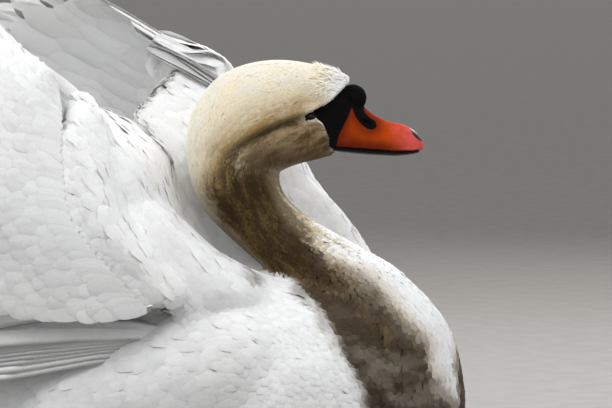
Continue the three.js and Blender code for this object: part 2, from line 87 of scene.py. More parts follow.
# [forward, half width, ridge, squareness]
FACE = np.array([
    [-12, 31, 24, 2.1], [6, 33, 38, 2.1], [20, 29.5, 40, 2.1], [32, 24.5, 36.5, 2], [42, 20.3, 28, 1.8],
    [52, 18, 12.5, 1.7], [62, 17, 3, 1.8], [72, 16.7, -2.8, 1.85], [82, 17.2, -6.4, 2], [92, 18, -8, 2.2],
    [100, 17.6, -11.5, 2.35], [107, 14.6, -16.6, 2.4], [112, 9.4, -23, 2.35], [114.2, 3.4, -28.6, 2.2],
])
MOUTH = np.array([[0, -29], [30, -31.2], [60, -33.2], [85, -34.4], [120, -33]])
# [forward, half width, depth below the edge of the mouth]
LOWER_BILL = np.array([
    [22, 12.5, 3.4], [29.8, 14.6, 4.3], [38, 15.4, 4.7], [60, 14.6, 5.2], [90, 15.2, 5.2], [103, 13.6, 4.2],
    [109, 8.5, 3], [110.5, 3, 1.8],
])
BARE_BORDER = {"forward": 34.5, "up": -11, "tilt": math.radians(23)}
KNOB_CENTRE = np.array([43.5, 0, 18])
KNOB_SIZE = np.array([14, 12.5, 13.6])
NAIL = {"forward": 107.5, "length": 9.5, "width": 12.5, "depth": 9.5}
LORES_OUTLINE = np.array([
    [-5.4, 0.6], [-3.6, 4.2], [0.6, 6.3], [6, 9.0], [10.5, 11.5], [19, 15.8], [24, 19.4], [30.4, 25.2],
    [38.5, 32.8], [50, 44], [130, 44], [130, -60], [27.5, -60], [26, -37.5], [23.8, -35.5], [23.2, -29.8],
    [22.4, -22], [20.2, -16.2], [16.6, -9.6], [12.2, -4.6], [8.7, -2.4], [6.6, 0.2], [4.6, -1.8], [0.4, -3.6],
    [-3.2, -2.6],
])

# One raised wing, on the right: [forward, left, up], the lowest feather first.
FOREARM = np.array([
    [66, -184, 256], [30, -194, 292], [-12, -198, 332], [-38, -184, 386], [-57, -165, 426], [-79, -147, 451],
])
WING_TIPS = np.array([
    [-470, -92, 202], [-512, -88, 286], [-500, -90, 384], [-438, -95, 470], [-344, -101, 529],
    [-240, -108, 549], [-142, -118, 497],
])
WING_BULGE = np.array([[78], [64], [22]])
WING_THICKNESS = np.array([[14], [36], [34], [22], [12], [7], [5]])
# [forward, left, up, half width, half thickness]
PRIMARIES = np.array([
    [84, -140, 222, 8, 6], [30, -166, 224, 18, 9], [-50, -182, 217, 28, 9], [-140, -180, 204, 35, 9],
    [-240, -157, 194, 38, 8], [-340, -120, 192, 36, 7], [-425, -82, 198, 29, 5.5], [-494, -50, 206, 18, 4],
    [-536, -30, 212, 7, 3],
])
PRIMARY_LEAN = (0.1, 0.95)
# The right shoulder feathers at the spine, over their crest and at the side: [forward, left, up]
SCAPULAR_SPINE = np.array([
    [126, -13, 262], [30, -13, 280], [-24, -14, 340], [-44, -16, 402], [-128, -16, 430],
])
SCAPULAR_CREST = np.array([
    [118, -132, 278], [66, -144, 322], [22, -142, 376], [-24, -136, 428], [-112, -110, 484],
])
SCAPULAR_SIDE = np.array([
    [84, -166, 248], [-2, -172, 304], [-52, -156, 352], [-82, -134, 420], [-132, -112, 474],
])
SCAPULAR_THICKNESS = np.array([[8], [30], [32], [26], [20], [8]])
SCAPULAR_LOBES = np.array([0, 0.42, 0.76, 1.04])
SCAPULAR_SWELL = 8
SCAPULAR_TIP_ARC = 46
# [back, half width, middle height, half thickness]
TAIL = np.array([[-396, 48, 138, 26], [-436, 54, 144, 20], [-484, 60, 156, 11], [-534, 58, 170, 6],
                 [-574, 44, 182, 3]])
TAIL_POINT = 34
TAIL_DROOP = 16

# Left foot: [forward, left, up]
HEEL = np.array([-248.0, 96, 13])
TOE_JOINT = np.array([-146.0, 110, 9])
TOE_TIPS = np.array([[-42, 78, 5], [-8, 112, 5.5], [-34, 146, 5]])
CLAW_LENGTH = 12
HIND_TOE = np.array([-186.0, 84, 5])

# ---------- numbers and curves ----------


def unit(v):
    return v / np.maximum(np.linalg.norm(v, axis=-1, keepdims=True), 1e-9)


def mix(a, b, share):
    return a + (b - a) * share


def dyed(colour, other, share):
    """Colours mixed, with one share for each point."""
    return mix(colour, other, share[:, None])


def bell(x, width):
    """1 where x is 0, falling smoothly to 0 on both sides."""
    return np.exp(-(x / width) ** 2)


def square_to(v, axis):
    """The direction nearest to v that is square to a unit axis."""
    return unit(v - (v * axis).sum(-1, keepdims=True) * axis)


def smoothstep(low, high, x):
    share = np.clip((x - low) / (high - low), 0, 1)
    return share * share * (3 - 2 * share)


def power_of(value, power):
    return np.sign(value) * np.abs(value) ** power


def catmull_rom(a, b, c, d, f):
    """The point at share f of the way from b to c, with a before them and d after them."""
    return b + 0.5 * f * (c - a + f * (2 * a - 5 * b + 4 * c - d + f * (3 * (b - c) + d - a)))


def along(table, t):
    """Every column of a table at share t of its length, on a smooth curve."""
    table = np.asarray(table, float)
    place = np.clip(t, 0, 1) * (len(table) - 1)
    i = np.minimum(np.floor(place).astype(int), len(table) - 2)
    near = (table[np.clip(i + k, 0, len(table) - 1)] for k in (-1, 0, 1, 2))
    return catmull_rom(*near, (place - i)[..., None])


def columns_at(table, t):
    """The columns of a table at share t of its length, one by one."""
    return np.moveaxis(along(table, t), -1, 0)


def ramp(t, *stops):
    """A smooth curve through (position, value) stops."""
    x, y = np.array(stops, float).T
    return np.interp(t, x, y)


def noise(p, size, seed=0.0):
    """Soft value noise from -1 to 1, at points p, in lumps of about that size."""
    q = np.asarray(p, float) / size + 100.0 + seed * 7.31
    cell = np.floor(q)
    f = q - cell
    f = f * f * (3 - 2 * f)
    total = np.zeros(q.shape[:-1])
    for corner in np.ndindex(2, 2, 2):
        corner = np.array(corner)
        lattice = (cell + corner) @ np.array([12.9898, 78.233, 37.719]) + seed
        value = np.modf(np.abs(np.sin(lattice) * 43758.5453))[0]
        weight = np.prod(np.where(corner, f, 1 - f), axis=-1)
        total += value * weight
    return 2 * total - 1


def head_rotation():
    c, s = math.cos(HEAD_YAW), math.sin(HEAD_YAW)
    return np.array([[c, -s, 0], [s, c, 0], [0, 0, 1]])


def from_head(p):
    return np.asarray(p, float) @ head_rotation().T + EYE_MIDPOINT


def to_head(p):
    return (np.asarray(p, float) - EYE_MIDPOINT) @ head_rotation()


def rounded(outline, per_side=6):
    """A closed outline with its corners smoothed."""
    n = len(outline)
    t = np.arange(n * per_side) / per_side
    i = np.floor(t).astype(int)
    return catmull_rom(*(outline[(i + k) % n] for k in (-1, 0, 1, 2)), (t - i)[:, None])


def distance_to_line(p, line, closed=False):
    """Distance of each 2-D point to a line of points, and its share of the line's length."""
    start = line if closed else line[:-1]
    end = np.roll(line, -1, axis=0) if closed else line[1:]
    run = end - start
    size = np.maximum((run ** 2).sum(1), 1e-9)
    share = np.clip(((p[:, None] - start) * run).sum(2) / size, 0, 1)
    gap = np.linalg.norm(p[:, None] - start - share[..., None] * run, axis=2)
    nearest = gap.argmin(1)
    rows = np.arange(len(p))
    return gap[rows, nearest], (nearest + share[rows, nearest]) / len(start)


def signed_distance(p, outline):
    """Distance of each 2-D point to a closed outline, negative inside."""
    gap = distance_to_line(p, outline, closed=True)[0]
    a = outline
    b = np.roll(outline, -1, axis=0)
    x, y = p[:, 0][:, None], p[:, 1][:, None]
    crosses = (a[:, 1] > y) != (b[:, 1] > y)
    slope = np.where(np.abs(b[:, 1] - a[:, 1]) < 1e-9, 1e-9, b[:, 1] - a[:, 1])
    left = x < (b[:, 0] - a[:, 0]) * (y - a[:, 1]) / slope + a[:, 0]
    inside = (crosses & left).sum(1) % 2 == 1
    return np.where(inside, -gap, gap)


# ---------- meshes ----------


def placed(name, data):
    """A new object in the scene."""
    thing = bpy.data.objects.new(name, data)
    bpy.context.scene.collection.objects.link(thing)
    return thing


def copied(piece):
    twin = piece.copy()
    twin.data = piece.data.copy()
    bpy.context.scene.collection.objects.link(twin)
    return twin


def new_mesh(name, points, *face_sets):
    """A mesh object from points in millimetres and arrays of faces with the same number of corners."""
    mesh = bpy.data.meshes.new(name)
    points = np.asarray(points, float)
    mesh.vertices.add(len(points))
    mesh.vertices.foreach_set("co", (points * MM).ravel())
    loops = np.concatenate([f.ravel() for f in face_sets])
    sizes = np.concatenate([np.full(len(f), f.shape[1]) for f in face_sets])
    mesh.loops.add(len(loops))
    mesh.loops.foreach_set("vertex_index", loops.astype(np.int32))
    mesh.polygons.add(len(sizes))
    starts = np.concatenate([[0], np.cumsum(sizes)[:-1]])
    mesh.polygons.foreach_set("loop_start", starts.astype(np.int32))
    mesh.update(calc_edges=True)
    mesh.polygons.foreach_set("use_smooth", np.ones(len(sizes), bool))
    return placed(name, mesh)


def values_of(items, name, width=1, kind=np.float32):
    """A property of every item of a mesh, with a row of that width for each."""
    values = np.empty(len(items) * width, kind)
    items.foreach_get(name, values)
    return values.reshape(-1, width) if width > 1 else values


def points_of(piece):
    return values_of(piece.data.vertices, "co", 3).astype(float) / MM


def set_points(piece, points):
    piece.data.vertices.foreach_set("co", (points * MM).astype(np.float32).ravel())
    piece.data.update()


def normals_of(piece):
    return values_of(piece.data.vertices, "normal", 3).astype(float)


def edges_of(piece):
    return values_of(piece.data.edges, "vertices", 2, np.int32)


def relaxed(values, edges, rounds):
    """Moves values half way to the mean of those at the neighbouring vertices, several times."""
    count = np.bincount(edges.ravel(), minlength=len(values)).astype(float)[:, None]
    for _ in range(rounds):
        total = np.zeros_like(values)
        for column in range(values.shape[1]):
            for here, there in ((0, 1), (1, 0)):
                total[:, column] += np.bincount(edges[:, here], values[edges[:, there], column], len(values))
        values = mix(values, total / np.maximum(count, 1), 0.5)
    return values


def grid_faces(rows, columns, closed=True, looped=False):
    """Quads of a grid of points: closed joins its last column to the first, looped its last row."""
    down = rows if looped else rows - 1
    across = columns if closed else columns - 1
    i, j = (index.ravel() for index in np.meshgrid(np.arange(down), np.arange(across), indexing="ij"))
    here, after = i * columns, (i + 1) % rows * columns
    beside = (j + 1) % columns
    return np.stack([here + j, here + beside, after + beside, after + j], 1)


def tube_piece(name, rings):
    """A closed tube from rings of points, ended with fans."""
    rows, columns = rings.shape[:2]
    points = np.concatenate([rings.reshape(-1, 3), [rings[0].mean(0)], [rings[-1].mean(0)]])
    j = np.arange(columns)
    k = (j + 1) % columns
    last = (rows - 1) * columns
    start = np.stack([np.full(columns, rows * columns), k, j], 1)
    end = np.stack([np.full(columns, rows * columns + 1), last + j, last + k], 1)
    return facing_out(new_mesh(name, points, grid_faces(rows, columns), start, end))


def plate_piece(name, outer, inner):
    """A closed plate from two grids of points, one for each side."""
    rows, columns = outer.shape[:2]
    rim = list(range(columns)) + [r * columns + columns - 1 for r in range(1, rows)]
    rim += [(rows - 1) * columns + c for c in range(columns - 2, -1, -1)]
    rim += [r * columns for r in range(rows - 2, 0, -1)]
    rim = np.array(rim)
    n = rows * columns
    after = np.roll(rim, -1)
    sheet = grid_faces(rows, columns, closed=False)
    wall = np.stack([rim, rim + n, after + n, after], 1)
    points = np.concatenate([outer.reshape(-1, 3), inner.reshape(-1, 3)])
    return facing_out(new_mesh(name, points, sheet, sheet[:, ::-1] + n, wall))


def facing_out(piece):
    """Turns the faces round if the closed piece is inside out."""
    mesh = piece.data
    mesh.calc_loop_triangles()
    index = values_of(mesh.loop_triangles, "vertices", 3, np.int32)
    a, b, c = points_of(piece)[index].transpose(1, 0, 2)
    if (a * np.cross(b, c)).sum() < 0:
        mesh.flip_normals()
    return piece


def joined(name, pieces):
    with bpy.context.temp_override(active_object=pieces[0], selected_editable_objects=pieces):
        bpy.ops.object.join()
    pieces[0].name = name
    return pieces[0]


def applied(piece):
    """The piece with its modifiers made real."""
    depsgraph = bpy.context.evaluated_depsgraph_get()
    mesh = bpy.data.meshes.new_from_object(piece.evaluated_get(depsgraph))
    piece.modifiers.clear()
    piece.data = mesh
    return piece


def remeshed(piece, voxel):
    modifier = piece.modifiers.new("remesh", "REMESH")
    modifier.mode = "VOXEL"
    modifier.voxel_size = voxel * MM
    modifier.use_smooth_shade = True
    return applied(piece)


def boolean(piece, tool, operation, keep_tool=False):
    modifier = piece.modifiers.new("cut", "BOOLEAN")
    modifier.operation = operation
    modifier.solver = "MANIFOLD"
    modifier.object = tool
    applied(piece)
    if not keep_tool:
        bpy.data.objects.remove(tool)
    return piece


def tinted(piece, colours):
    attribute = piece.data.attributes.new("tint", "FLOAT_COLOR", "POINT")
    rgba = np.ones((len(colours), 4), np.float32)
    rgba[:, :3] = colours
    attribute.data.foreach_set("color", rgba.ravel())


def scalar_attribute(piece, name, values):
    attribute = piece.data.attributes.new(name, "FLOAT", "POINT")
    attribute.data.foreach_set("value", np.asarray(values, np.float32))


def dressed(piece, material):
    piece.data.materials.clear()
    piece.data.materials.append(material)


def settled(piece, material, slot, *nodes):
    """Gives a piece its material, says what it rides on and hides the nodes it replaces; the slot is not
    used.
    """
    dressed(piece, material)
    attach(piece, "root")
    if nodes:
        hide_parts(*nodes)


# ---------- skin ----------

COAT_DEPTH = {"trunk": 8, "flank": 9, "mantle": 9, "scapular": 7, "arm": 6}
# The fold that runs back and down from the eye, in the head frame: [forward, up]
GROOVE = np.array([
    [-6, 2.6], [-13, 0.8], [-19, -1.3], [-36, -6.5], [-56, -17], [-70, -25.5], [-82, -36], [-88, -48],
    [-89, -66],
])
# [forward, left, up, radius]
UPPER_ARM = np.array([[40, -104, 224, 20], [22, -140, 256, 20], [2, -172, 296, 17], [-24, -182, 344, 12]])
# The fold between the raised wing and the shoulder feathers, from the forearm: [forward, left, up]
WING_FOLD_OFFSET = np.array([[8, 20, 4], [8, 20, 4], [8, 22, 2], [6, 27, -5]])
WING_FOLD_RADIUS = np.array([[15], [18], [21], [21], [18], [14]])
SHOULDER_FOLD_RADIUS = 14
KIND = {"trunk": 0, "flank": 1, "mantle": 2, "neck": 3, "scapular": 4, "arm": 5}
TRUNK_MIDDLE = -100
TRUNK_REACH = 370
MANTLE_SQUARENESS = 2.1
# Shares of the length of neck and head where their rings end, and where the skin follows them closely
NECK_END = 0.985
GUIDE_START = 0.4
# Points in a web's two sides: rows, columns, first and last share of the way to the tips
SCAPULAR_GRID = (44, 30, 0.0, 0.9)
ARM_GRID = (26, 40, 0.015, 0.5)
TUBE_CORNERS = 24
SKIN_VOXEL = 4.9
# Balls round the head within which the skin is made finer: centre in the head frame, radius
FINER_SKIN = (((-30, 0, 0), 112), ((8, 0, 0), 52))


def ring_angles(around):
    return np.arange(around) / around * 2 * np.pi


def ring_grid(lengthwise, around):
    """Shares of the length in a column, and angles round a ring in a row."""
    return np.linspace(0, 1, lengthwise)[:, None], ring_angles(around)[None]


def trunk_rings():
    depth = COAT_DEPTH["trunk"]
    t, angle = ring_grid(80, 84)
    forward, half, bottom, top, square = columns_at(TRUNK, t)
    forward = TRUNK_MIDDLE + (forward - TRUNK_MIDDLE) * (1 - depth / TRUNK_REACH)
    rise = np.maximum((top - bottom) / 2 - depth, 1)
    up = (top + bottom) / 2 + rise * power_of(np.sin(angle), 2 / square)
    side = np.maximum(half - depth, 1) * power_of(np.cos(angle), 2 / square)
    return np.stack([forward + 0 * side, side, np.maximum(up, 0.6 * depth)], -1)


def flank_rings(side):
    depth = COAT_DEPTH["flank"]
    t, angle = ring_grid(44, 40)
    forward, left, up, half_width, half_height = columns_at(FLANK, t)
    across = side * (np.maximum(half_width - depth, 1) * np.cos(angle) - left)
    height = up + np.maximum(half_height - depth, 1) * np.sin(angle)
    return np.stack([forward + 0 * across, across, height], -1)


def mantle_rings():
    depth = COAT_DEPTH["mantle"]
    t, angle = ring_grid(48, 48)
    forward, half, bottom, top = columns_at(MANTLE, t)
    power = 2 / MANTLE_SQUARENESS
    side = np.maximum(half - depth, 1) * power_of(np.cos(angle), power)
    up = (top + bottom) / 2 + np.maximum((top - bottom) / 2 - depth, 1) * power_of(np.sin(angle), power)
    return np.stack([forward + 0 * side, side, up], -1)


def neck_sections():
    centre = NECK[:, :3]
    before = centre[np.maximum(np.arange(len(NECK)) - 1, 0)]
    after = centre[np.minimum(np.arange(len(NECK)) + 1, len(NECK) - 1)]
    reach = unit(np.cross(after - before, [0.0, 1, 0])) * NECK[:, 3:4]
    neck = np.hstack([centre + reach, centre - reach, NECK[:, 4:5]])
    left = HEAD[:, 5]
    nape = from_head(np.stack([HEAD[:, 0], left, HEAD[:, 1]], 1))
    throat = from_head(np.stack([HEAD[:, 2], left, HEAD[:, 3]], 1))
    return np.vstack([neck, np.hstack([nape, throat, HEAD[:, 4:5]])])


SECTIONS = neck_sections()


def neck_depth(t):
    return ramp(t, (0, 7), (0.15, 5), (0.3, 3.6), (0.6, 2.6), (0.75, 2.1), (1, 1.7))


def neck_points(t, angle, depth):
    """Points on the neck and head at shares t of its length; angle 90 degrees is the nape and crown."""
    row = along(SECTIONS, t)
    step = 0.004
    ahead = along(SECTIONS, np.minimum(t + step, 1))
    behind = along(SECTIONS, np.maximum(t - step, 0))
    centre = (row[..., :3] + row[..., 3:6]) / 2
    run = (ahead[..., :3] + ahead[..., 3:6] - behind[..., :3] - behind[..., 3:6]) / 2
    reach = (row[..., :3] - row[..., 3:6]) / 2
    long = np.linalg.norm(reach, axis=-1, keepdims=True)
    half = np.maximum(row[..., 6] - depth, 0.5)[..., None]
    left = unit(np.cross(reach, run)) * half * power_of(np.cos(angle), NECK_ROUNDING)[..., None]
    up = unit(reach) * np.maximum(long - np.asarray(depth)[..., None], 0.5)
    return centre + left + up * power_of(np.sin(angle), NECK_ROUNDING)[..., None]


def neck_rings(lengthwise=230, around=96, start=0.0):
    t = np.linspace(start, NECK_END, lengthwise)[:, None] + np.zeros((1, around))
    angle = ring_angles(around)[None] + np.zeros((lengthwise, 1))
    return neck_points(t, angle, neck_depth(t))


def scapular_web(q, t):
    """A point on the right shoulder feathers: q runs from the spine over the crest to the side."""
    spine, crest, side = (along(line, t) for line in (SCAPULAR_SPINE, SCAPULAR_CREST, SCAPULAR_SIDE))
    q = np.asarray(q, float)[..., None]
    f = 2 * q
    bend = 4 * crest - 3 * spine - side + f * (2 * spine - 3 * crest + side)
    lower = spine + 0.5 * f * (crest - spine + f * bend)
    f = 2 * q - 1
    bend = 2 * spine - 5 * crest + 3 * side + f * (3 * crest - 2 * side - spine)
    upper = crest + 0.5 * f * (side - spine + f * bend)
    return np.where(q < 0.5, lower, upper)


def wing_web(q, t):
    """A point in the middle of the right wing: q picks the feather, t runs from forearm to tip."""
    root = along(FOREARM, q)
    tip = along(WING_TIPS, q)
    swell = mix(root, tip, 0.46)
    swell[..., 1] -= along(WING_BULGE, q)[..., 0]
    t = np.asarray(t, float)[..., None]
    return root * (1 - t) ** 2 + 2 * swell * t * (1 - t) + tip * t * t


def web_frame(web, q, t):
    """Point, direction towards the tips and outward normal of a web on the right side."""
    step = 0.01
    across = web(np.minimum(q + step, 1), t) - web(np.maximum(q - step, 0), t)
    lengthwise = web(q, t + step) - web(q, np.maximum(t - step, 0))
    normal = unit(np.cross(lengthwise, across))
    if web is wing_web:
        normal = -normal
    return web(q, t), unit(lengthwise), normal


def to_side(p, side):
    """Carries points from the right side of the body to either side."""
    return p * np.array([1, -side, 1])


def lobe_swell(t):
    i = np.clip(np.searchsorted(SCAPULAR_LOBES, t, side="right") - 1, 0, len(SCAPULAR_LOBES) - 2)
    start, end = SCAPULAR_LOBES[i], SCAPULAR_LOBES[i + 1]
    return SCAPULAR_SWELL * 4 * (t - start) * (end - t) / (end - start) ** 2


def web_grid(rows, columns, start, end):
    t, q = np.meshgrid(np.linspace(start, end, rows), np.linspace(0.0, 1.0, columns), indexing="ij")
    return q, t


def scapular_sides(side):
    q, t = web_grid(*SCAPULAR_GRID)
    middle, _, normal = web_frame(scapular_web, q, t)
    depth = COAT_DEPTH["scapular"]
    thick = along(SCAPULAR_THICKNESS, t)[..., 0]
    outer = middle + normal * (lobe_swell(t) - depth)[..., None]
    inner = middle - normal * np.maximum(thick - 3, depth + 3)[..., None]
    arc = SCAPULAR_TIP_ARC * t ** 3 * 4 * q * (1 - q)
    outer[..., 0] -= arc
    inner[..., 0] -= arc
    return to_side(outer, side), to_side(inner, side)


def arm_sides(side):
    q, t = web_grid(*ARM_GRID)
    middle, _, normal = web_frame(wing_web, q, t)
    half = np.maximum(along(WING_THICKNESS, t)[..., 0] / 2 - COAT_DEPTH["arm"], 2.5)[..., None]
    return to_side(middle + normal * half, side), to_side(middle - normal * half, side)


def upper_arm_rings():
    """The root of the right wing, from the shoulder to the forearm."""
    centre = along(UPPER_ARM, np.linspace(0, 1, 30))
    return round_tube(centre[:, :3], centre[:, 3])


def round_tube(centre, radius):
    """Rings about a line of points; radius is a number for each point."""
    run = unit(np.gradient(centre, axis=0))
    side = unit(np.cross(run, [1.0, 0, 0.2]))
    up = np.cross(run, side)
    angle = ring_angles(TUBE_CORNERS)[None, :, None]
    ring = side[:, None] * np.cos(angle) + up[:, None] * np.sin(angle)
    return centre[:, None] + radius[:, None, None] * ring


def wing_fold_rings():
    """The skin that joins the front of the right wing to the shoulder."""
    s = np.linspace(0, 1, 40)
    return round_tube(along(FOREARM, 0.98 * s) + along(WING_FOLD_OFFSET, s), along(WING_FOLD_RADIUS, s)[:, 0])


def shoulder_fold_rings():
    """The rise from the right flank to the front of the shoulder feathers."""
    q = np.linspace(0.06, 1, 40)
    middle, _, normal = web_frame(scapular_web, q, np.full(40, 0.03))
    depth = COAT_DEPTH["scapular"] + SHOULDER_FOLD_RADIUS - 2
    return round_tube(middle - normal * depth, np.full(40, float(SHOULDER_FOLD_RADIUS)))


def source_samples():
    """Points over every form under the coat, with the lie of the feathers there."""
    rows = []

    def add(kind, grid, towards_end, t=None, ridge=None):
        lie = unit(np.gradient(grid, axis=0)) * (1 if towards_end else -1)
        t = np.zeros(grid.shape[:2]) if t is None else t
        ridge = np.zeros(grid.shape[:2]) if ridge is None else ridge
        kinds = np.full(t.size, KIND[kind])
        rows.append((grid.reshape(-1, 3), lie.reshape(-1, 3), kinds, t.ravel(), ridge.ravel()))

    add("trunk", trunk_rings(), False)
    add("mantle", mantle_rings(), True)
    neck = neck_rings()
    t = np.linspace(0, NECK_END, neck.shape[0])[:, None] + np.zeros((1, neck.shape[1]))
    ridge = np.sin(ring_angles(neck.shape[1]))[None] + np.zeros((neck.shape[0], 1))
    add("neck", neck, False, t, ridge)
    for side in (RIGHT, LEFT):
        add("flank", flank_rings(side), True)
        for kind, grids, shape in (
            ("scapular", scapular_sides(side), SCAPULAR_GRID),
            ("arm", arm_sides(side), ARM_GRID),
        ):
            for grid in grids:
                add(kind, grid, True, t=web_grid(*shape)[1])
    return [np.concatenate(column) for column in zip(*rows)]


def refine(piece, chosen):
    """Quarters the faces that chosen(centres) picks."""
    import bmesh
    work = bmesh.new()
    work.from_mesh(piece.data)
    work.faces.ensure_lookup_table()
    centres = np.array([f.calc_center_median() for f in work.faces]) / MM
    picked = chosen(centres)
    edges = {e for f, p in zip(work.faces, picked) if p for e in f.edges}
    bmesh.ops.subdivide_edges(work, edges=list(edges), cuts=1, use_grid_fill=True)
    bmesh.ops.triangulate(work, faces=[f for f in work.faces if len(f.verts) > 4])
    work.to_mesh(piece.data)
    work.free()


LORES = rounded(LORES_OUTLINE)


def lores_gap(p):
    """Distance in the side view from the edge of the bare skin, negative on the bare skin."""
    return signed_distance(p[:, [0, 2]], LORES)


def groove_gap(p):
    """Height above the fold that runs back and down from the eye, and the share of the way along it."""
    flat = p[:, [0, 2]]
    gap, share = distance_to_line(flat, GROOVE)
    i = np.clip((share * (len(GROOVE) - 1)).astype(int), 0, len(GROOVE) - 2)
    run = unit(GROOVE[i + 1] - GROOVE[i])
    off = flat - GROOVE[i]
    above = run[:, 0] * off[:, 1] - run[:, 1] * off[:, 0] < 0
    return np.where(above, gap, -gap), share


def head_carving(p, normal):
    """How far the head's surface moves outward: the fold behind the eye and the brow and cheek beside it."""
    lateral = smoothstep(0.35, 0.75, np.abs(normal[:, 1]))
    height, share = groove_gap(p)
    strength = ramp(share, (0, 0.5), (0.15, 1), (0.75, 1), (1, 0.0)) * lateral
    step = mix(-3.6, 2.4, smoothstep(-1.5, 2.5, height))
    fade = bell(height, np.where(height > 0, 15, 8))
    cheek = 1.2 * bell(height + 14, 7)
    return strength * (step * fade + cheek)


def breast_crease(p):
    """How far the skin sinks where the neck's foot meets the flank."""
    off = p[:, 0] - ramp(p[:, 2], *STAIN_BACK)
    low = smoothstep(95, 130, p[:, 2]) * (1 - smoothstep(262, 282, p[:, 2]))
    here = low * smoothstep(40, 60, np.abs(p[:, 1]))
    return BREAST_CREASE_DEPTH * bell(off - 3, 7) * here


def body_billow(p):
    """How far the skin moves outward on the body: soft unevenness, and the crease at the neck's foot."""
    middle = along(SECTIONS, np.linspace(0, 1, 60))
    middle = (middle[:, :3] + middle[:, 3:6]) / 2
    from_neck = np.linalg.norm(p[:, None] - middle, axis=2).min(1)
    billow = 2.6 * noise(p, 62, 21) + 1.3 * noise(p, 27, 22) - 1.0
    return billow * smoothstep(20, 60, p[:, 2]) * smoothstep(65, 110, from_neck) - breast_crease(p)


def forms_under_coat():
    parts = [tube_piece("part", rings) for rings in (trunk_rings(), mantle_rings(), neck_rings())]
    for side in (RIGHT, LEFT):
        parts.append(tube_piece("part", flank_rings(side)))
        parts.append(plate_piece("part", *scapular_sides(side)))
        parts.append(plate_piece("part", *arm_sides(side)))
        for rings in (upper_arm_rings(), wing_fold_rings(), shoulder_fold_rings()):
            parts.append(tube_piece("part", to_side(rings, side)))
    return joined("skin", parts)


def follow_head(skin):
    """Makes the skin finer round the head and lays it on the head's form.

    Gives the points and how closely each one follows, from 0 to 1.
    """
    rows, around = 320, 128
    guide = tube_piece("guide", neck_rings(rows, around, GUIDE_START))
    faces = [list(f.vertices) for f in guide.data.polygons]
    tree = BVHTree.FromPolygons([Vector(p) for p in points_of(guide)], faces)
    bpy.data.objects.remove(guide)
    for centre, radius in FINER_SKIN:
        centre = from_head(centre)
        refine(skin, lambda c, centre=centre, radius=radius: np.linalg.norm(c - centre, axis=1) < radius)
    points = points_of(skin)
    share = np.zeros(len(points))
    for i in np.flatnonzero(np.linalg.norm(points - from_head([-60, 0, -20]), axis=1) < 190):
        place, _, face, gap = tree.find_nearest(Vector(points[i]))
        if face < (rows - 1) * around:
            t = mix(GUIDE_START, NECK_END, face // around / (rows - 1))
        else:
            t = 1.0 if to_head(np.array(place))[0] > 0 else GUIDE_START
        share[i] = smoothstep(0.42, 0.55, t) * (1 - smoothstep(9, 14, gap))
        points[i] = mix(points[i], np.array(place), share[i])
    set_points(skin, points)
    return points, share


def make_skin():
    skin = remeshed(forms_under_coat(), SKIN_VOXEL)
    keep_largest(skin)
    points = relaxed(points_of(skin), edges_of(skin), 5)
    set_points(skin, points)
    set_points(skin, points + normals_of(skin) * body_billow(points)[:, None])

    points, share = follow_head(skin)
    local = to_head(points)
    share *= smoothstep(0.5, 0.6, share)
    move = head_carving(local, normals_of(skin) @ head_rotation()) * share
    move -= 7 * (1 - smoothstep(-1.6, 0.4, lores_gap(local))) * share
    points = points + normals_of(skin) * relaxed(move[:, None], edges_of(skin), 1)
    points[:, 2] = np.maximum(points[:, 2], 4)
    set_points(skin, points)
    return skin


def keep_largest(piece):
    """Drops every loose island but the largest."""
    import bmesh
    edges = edges_of(piece)
    label = np.arange(len(piece.data.vertices))
    while True:
        low = np.minimum(label[edges[:, 0]], label[edges[:, 1]])
        new = label.copy()
        np.minimum.at(new, edges[:, 0], low)
        np.minimum.at(new, edges[:, 1], low)
        new = new[new]
        if (new == label).all():
            break
        label = new
    largest = np.bincount(label).argmax()
    if (label == largest).all():
        return
    work = bmesh.new()
    work.from_mesh(piece.data)
    work.verts.ensure_lookup_table()
    bmesh.ops.delete(work, geom=[work.verts[i] for i in np.flatnonzero(label != largest)], context="VERTS")
    work.to_mesh(piece.data)
    work.free()


# ---------- colours, as linear red, green and blue ----------

WHITE = np.array([0.88, 0.88, 0.885])
SHADE_WHITE = np.array([0.85, 0.845, 0.83])
CREAM = np.array([0.90, 0.80, 0.58])
IVORY = np.array([0.90, 0.85, 0.74])
GOLD = np.array([0.38, 0.225, 0.065])
TAWNY = np.array([0.24, 0.165, 0.075])
BEIGE = np.array([0.52, 0.42, 0.28])
CHEEK = np.array([0.46, 0.32, 0.18])
# OLIVE and UMBER are darker than the stain alone: partly real stain, partly painted shade of the neck's
# shaded sides.
OLIVE = np.array([0.10, 0.062, 0.018])
UMBER = np.array([0.03, 0.016, 0.0035])
BRIGHTEST = 0.92
# Where the brown of the neck ends on the breast: [up, forward] behind, [up, off the middle] in front
STAIN_BACK = ((110, 246), (166, 234), (183, 231), (227, 202), (249, 179), (271, 134), (291, 72))
STAIN_FRONT = ((146, -40), (158, -4), (170, 16), (187, 28), (225, 30), (245, 34), (260, 33), (283, 28))
BREAST_CREASE_DEPTH = 5.0
# How far round from the throat the white of the breast reaches up the neck, by share of the neck's length;
# partly real white, partly a painted highlight on the neck's lit front
WHITE_FRONT = ((0.0, 0.5), (0.19, 0.80), (0.245, 0.98), (0.30, 1.35))


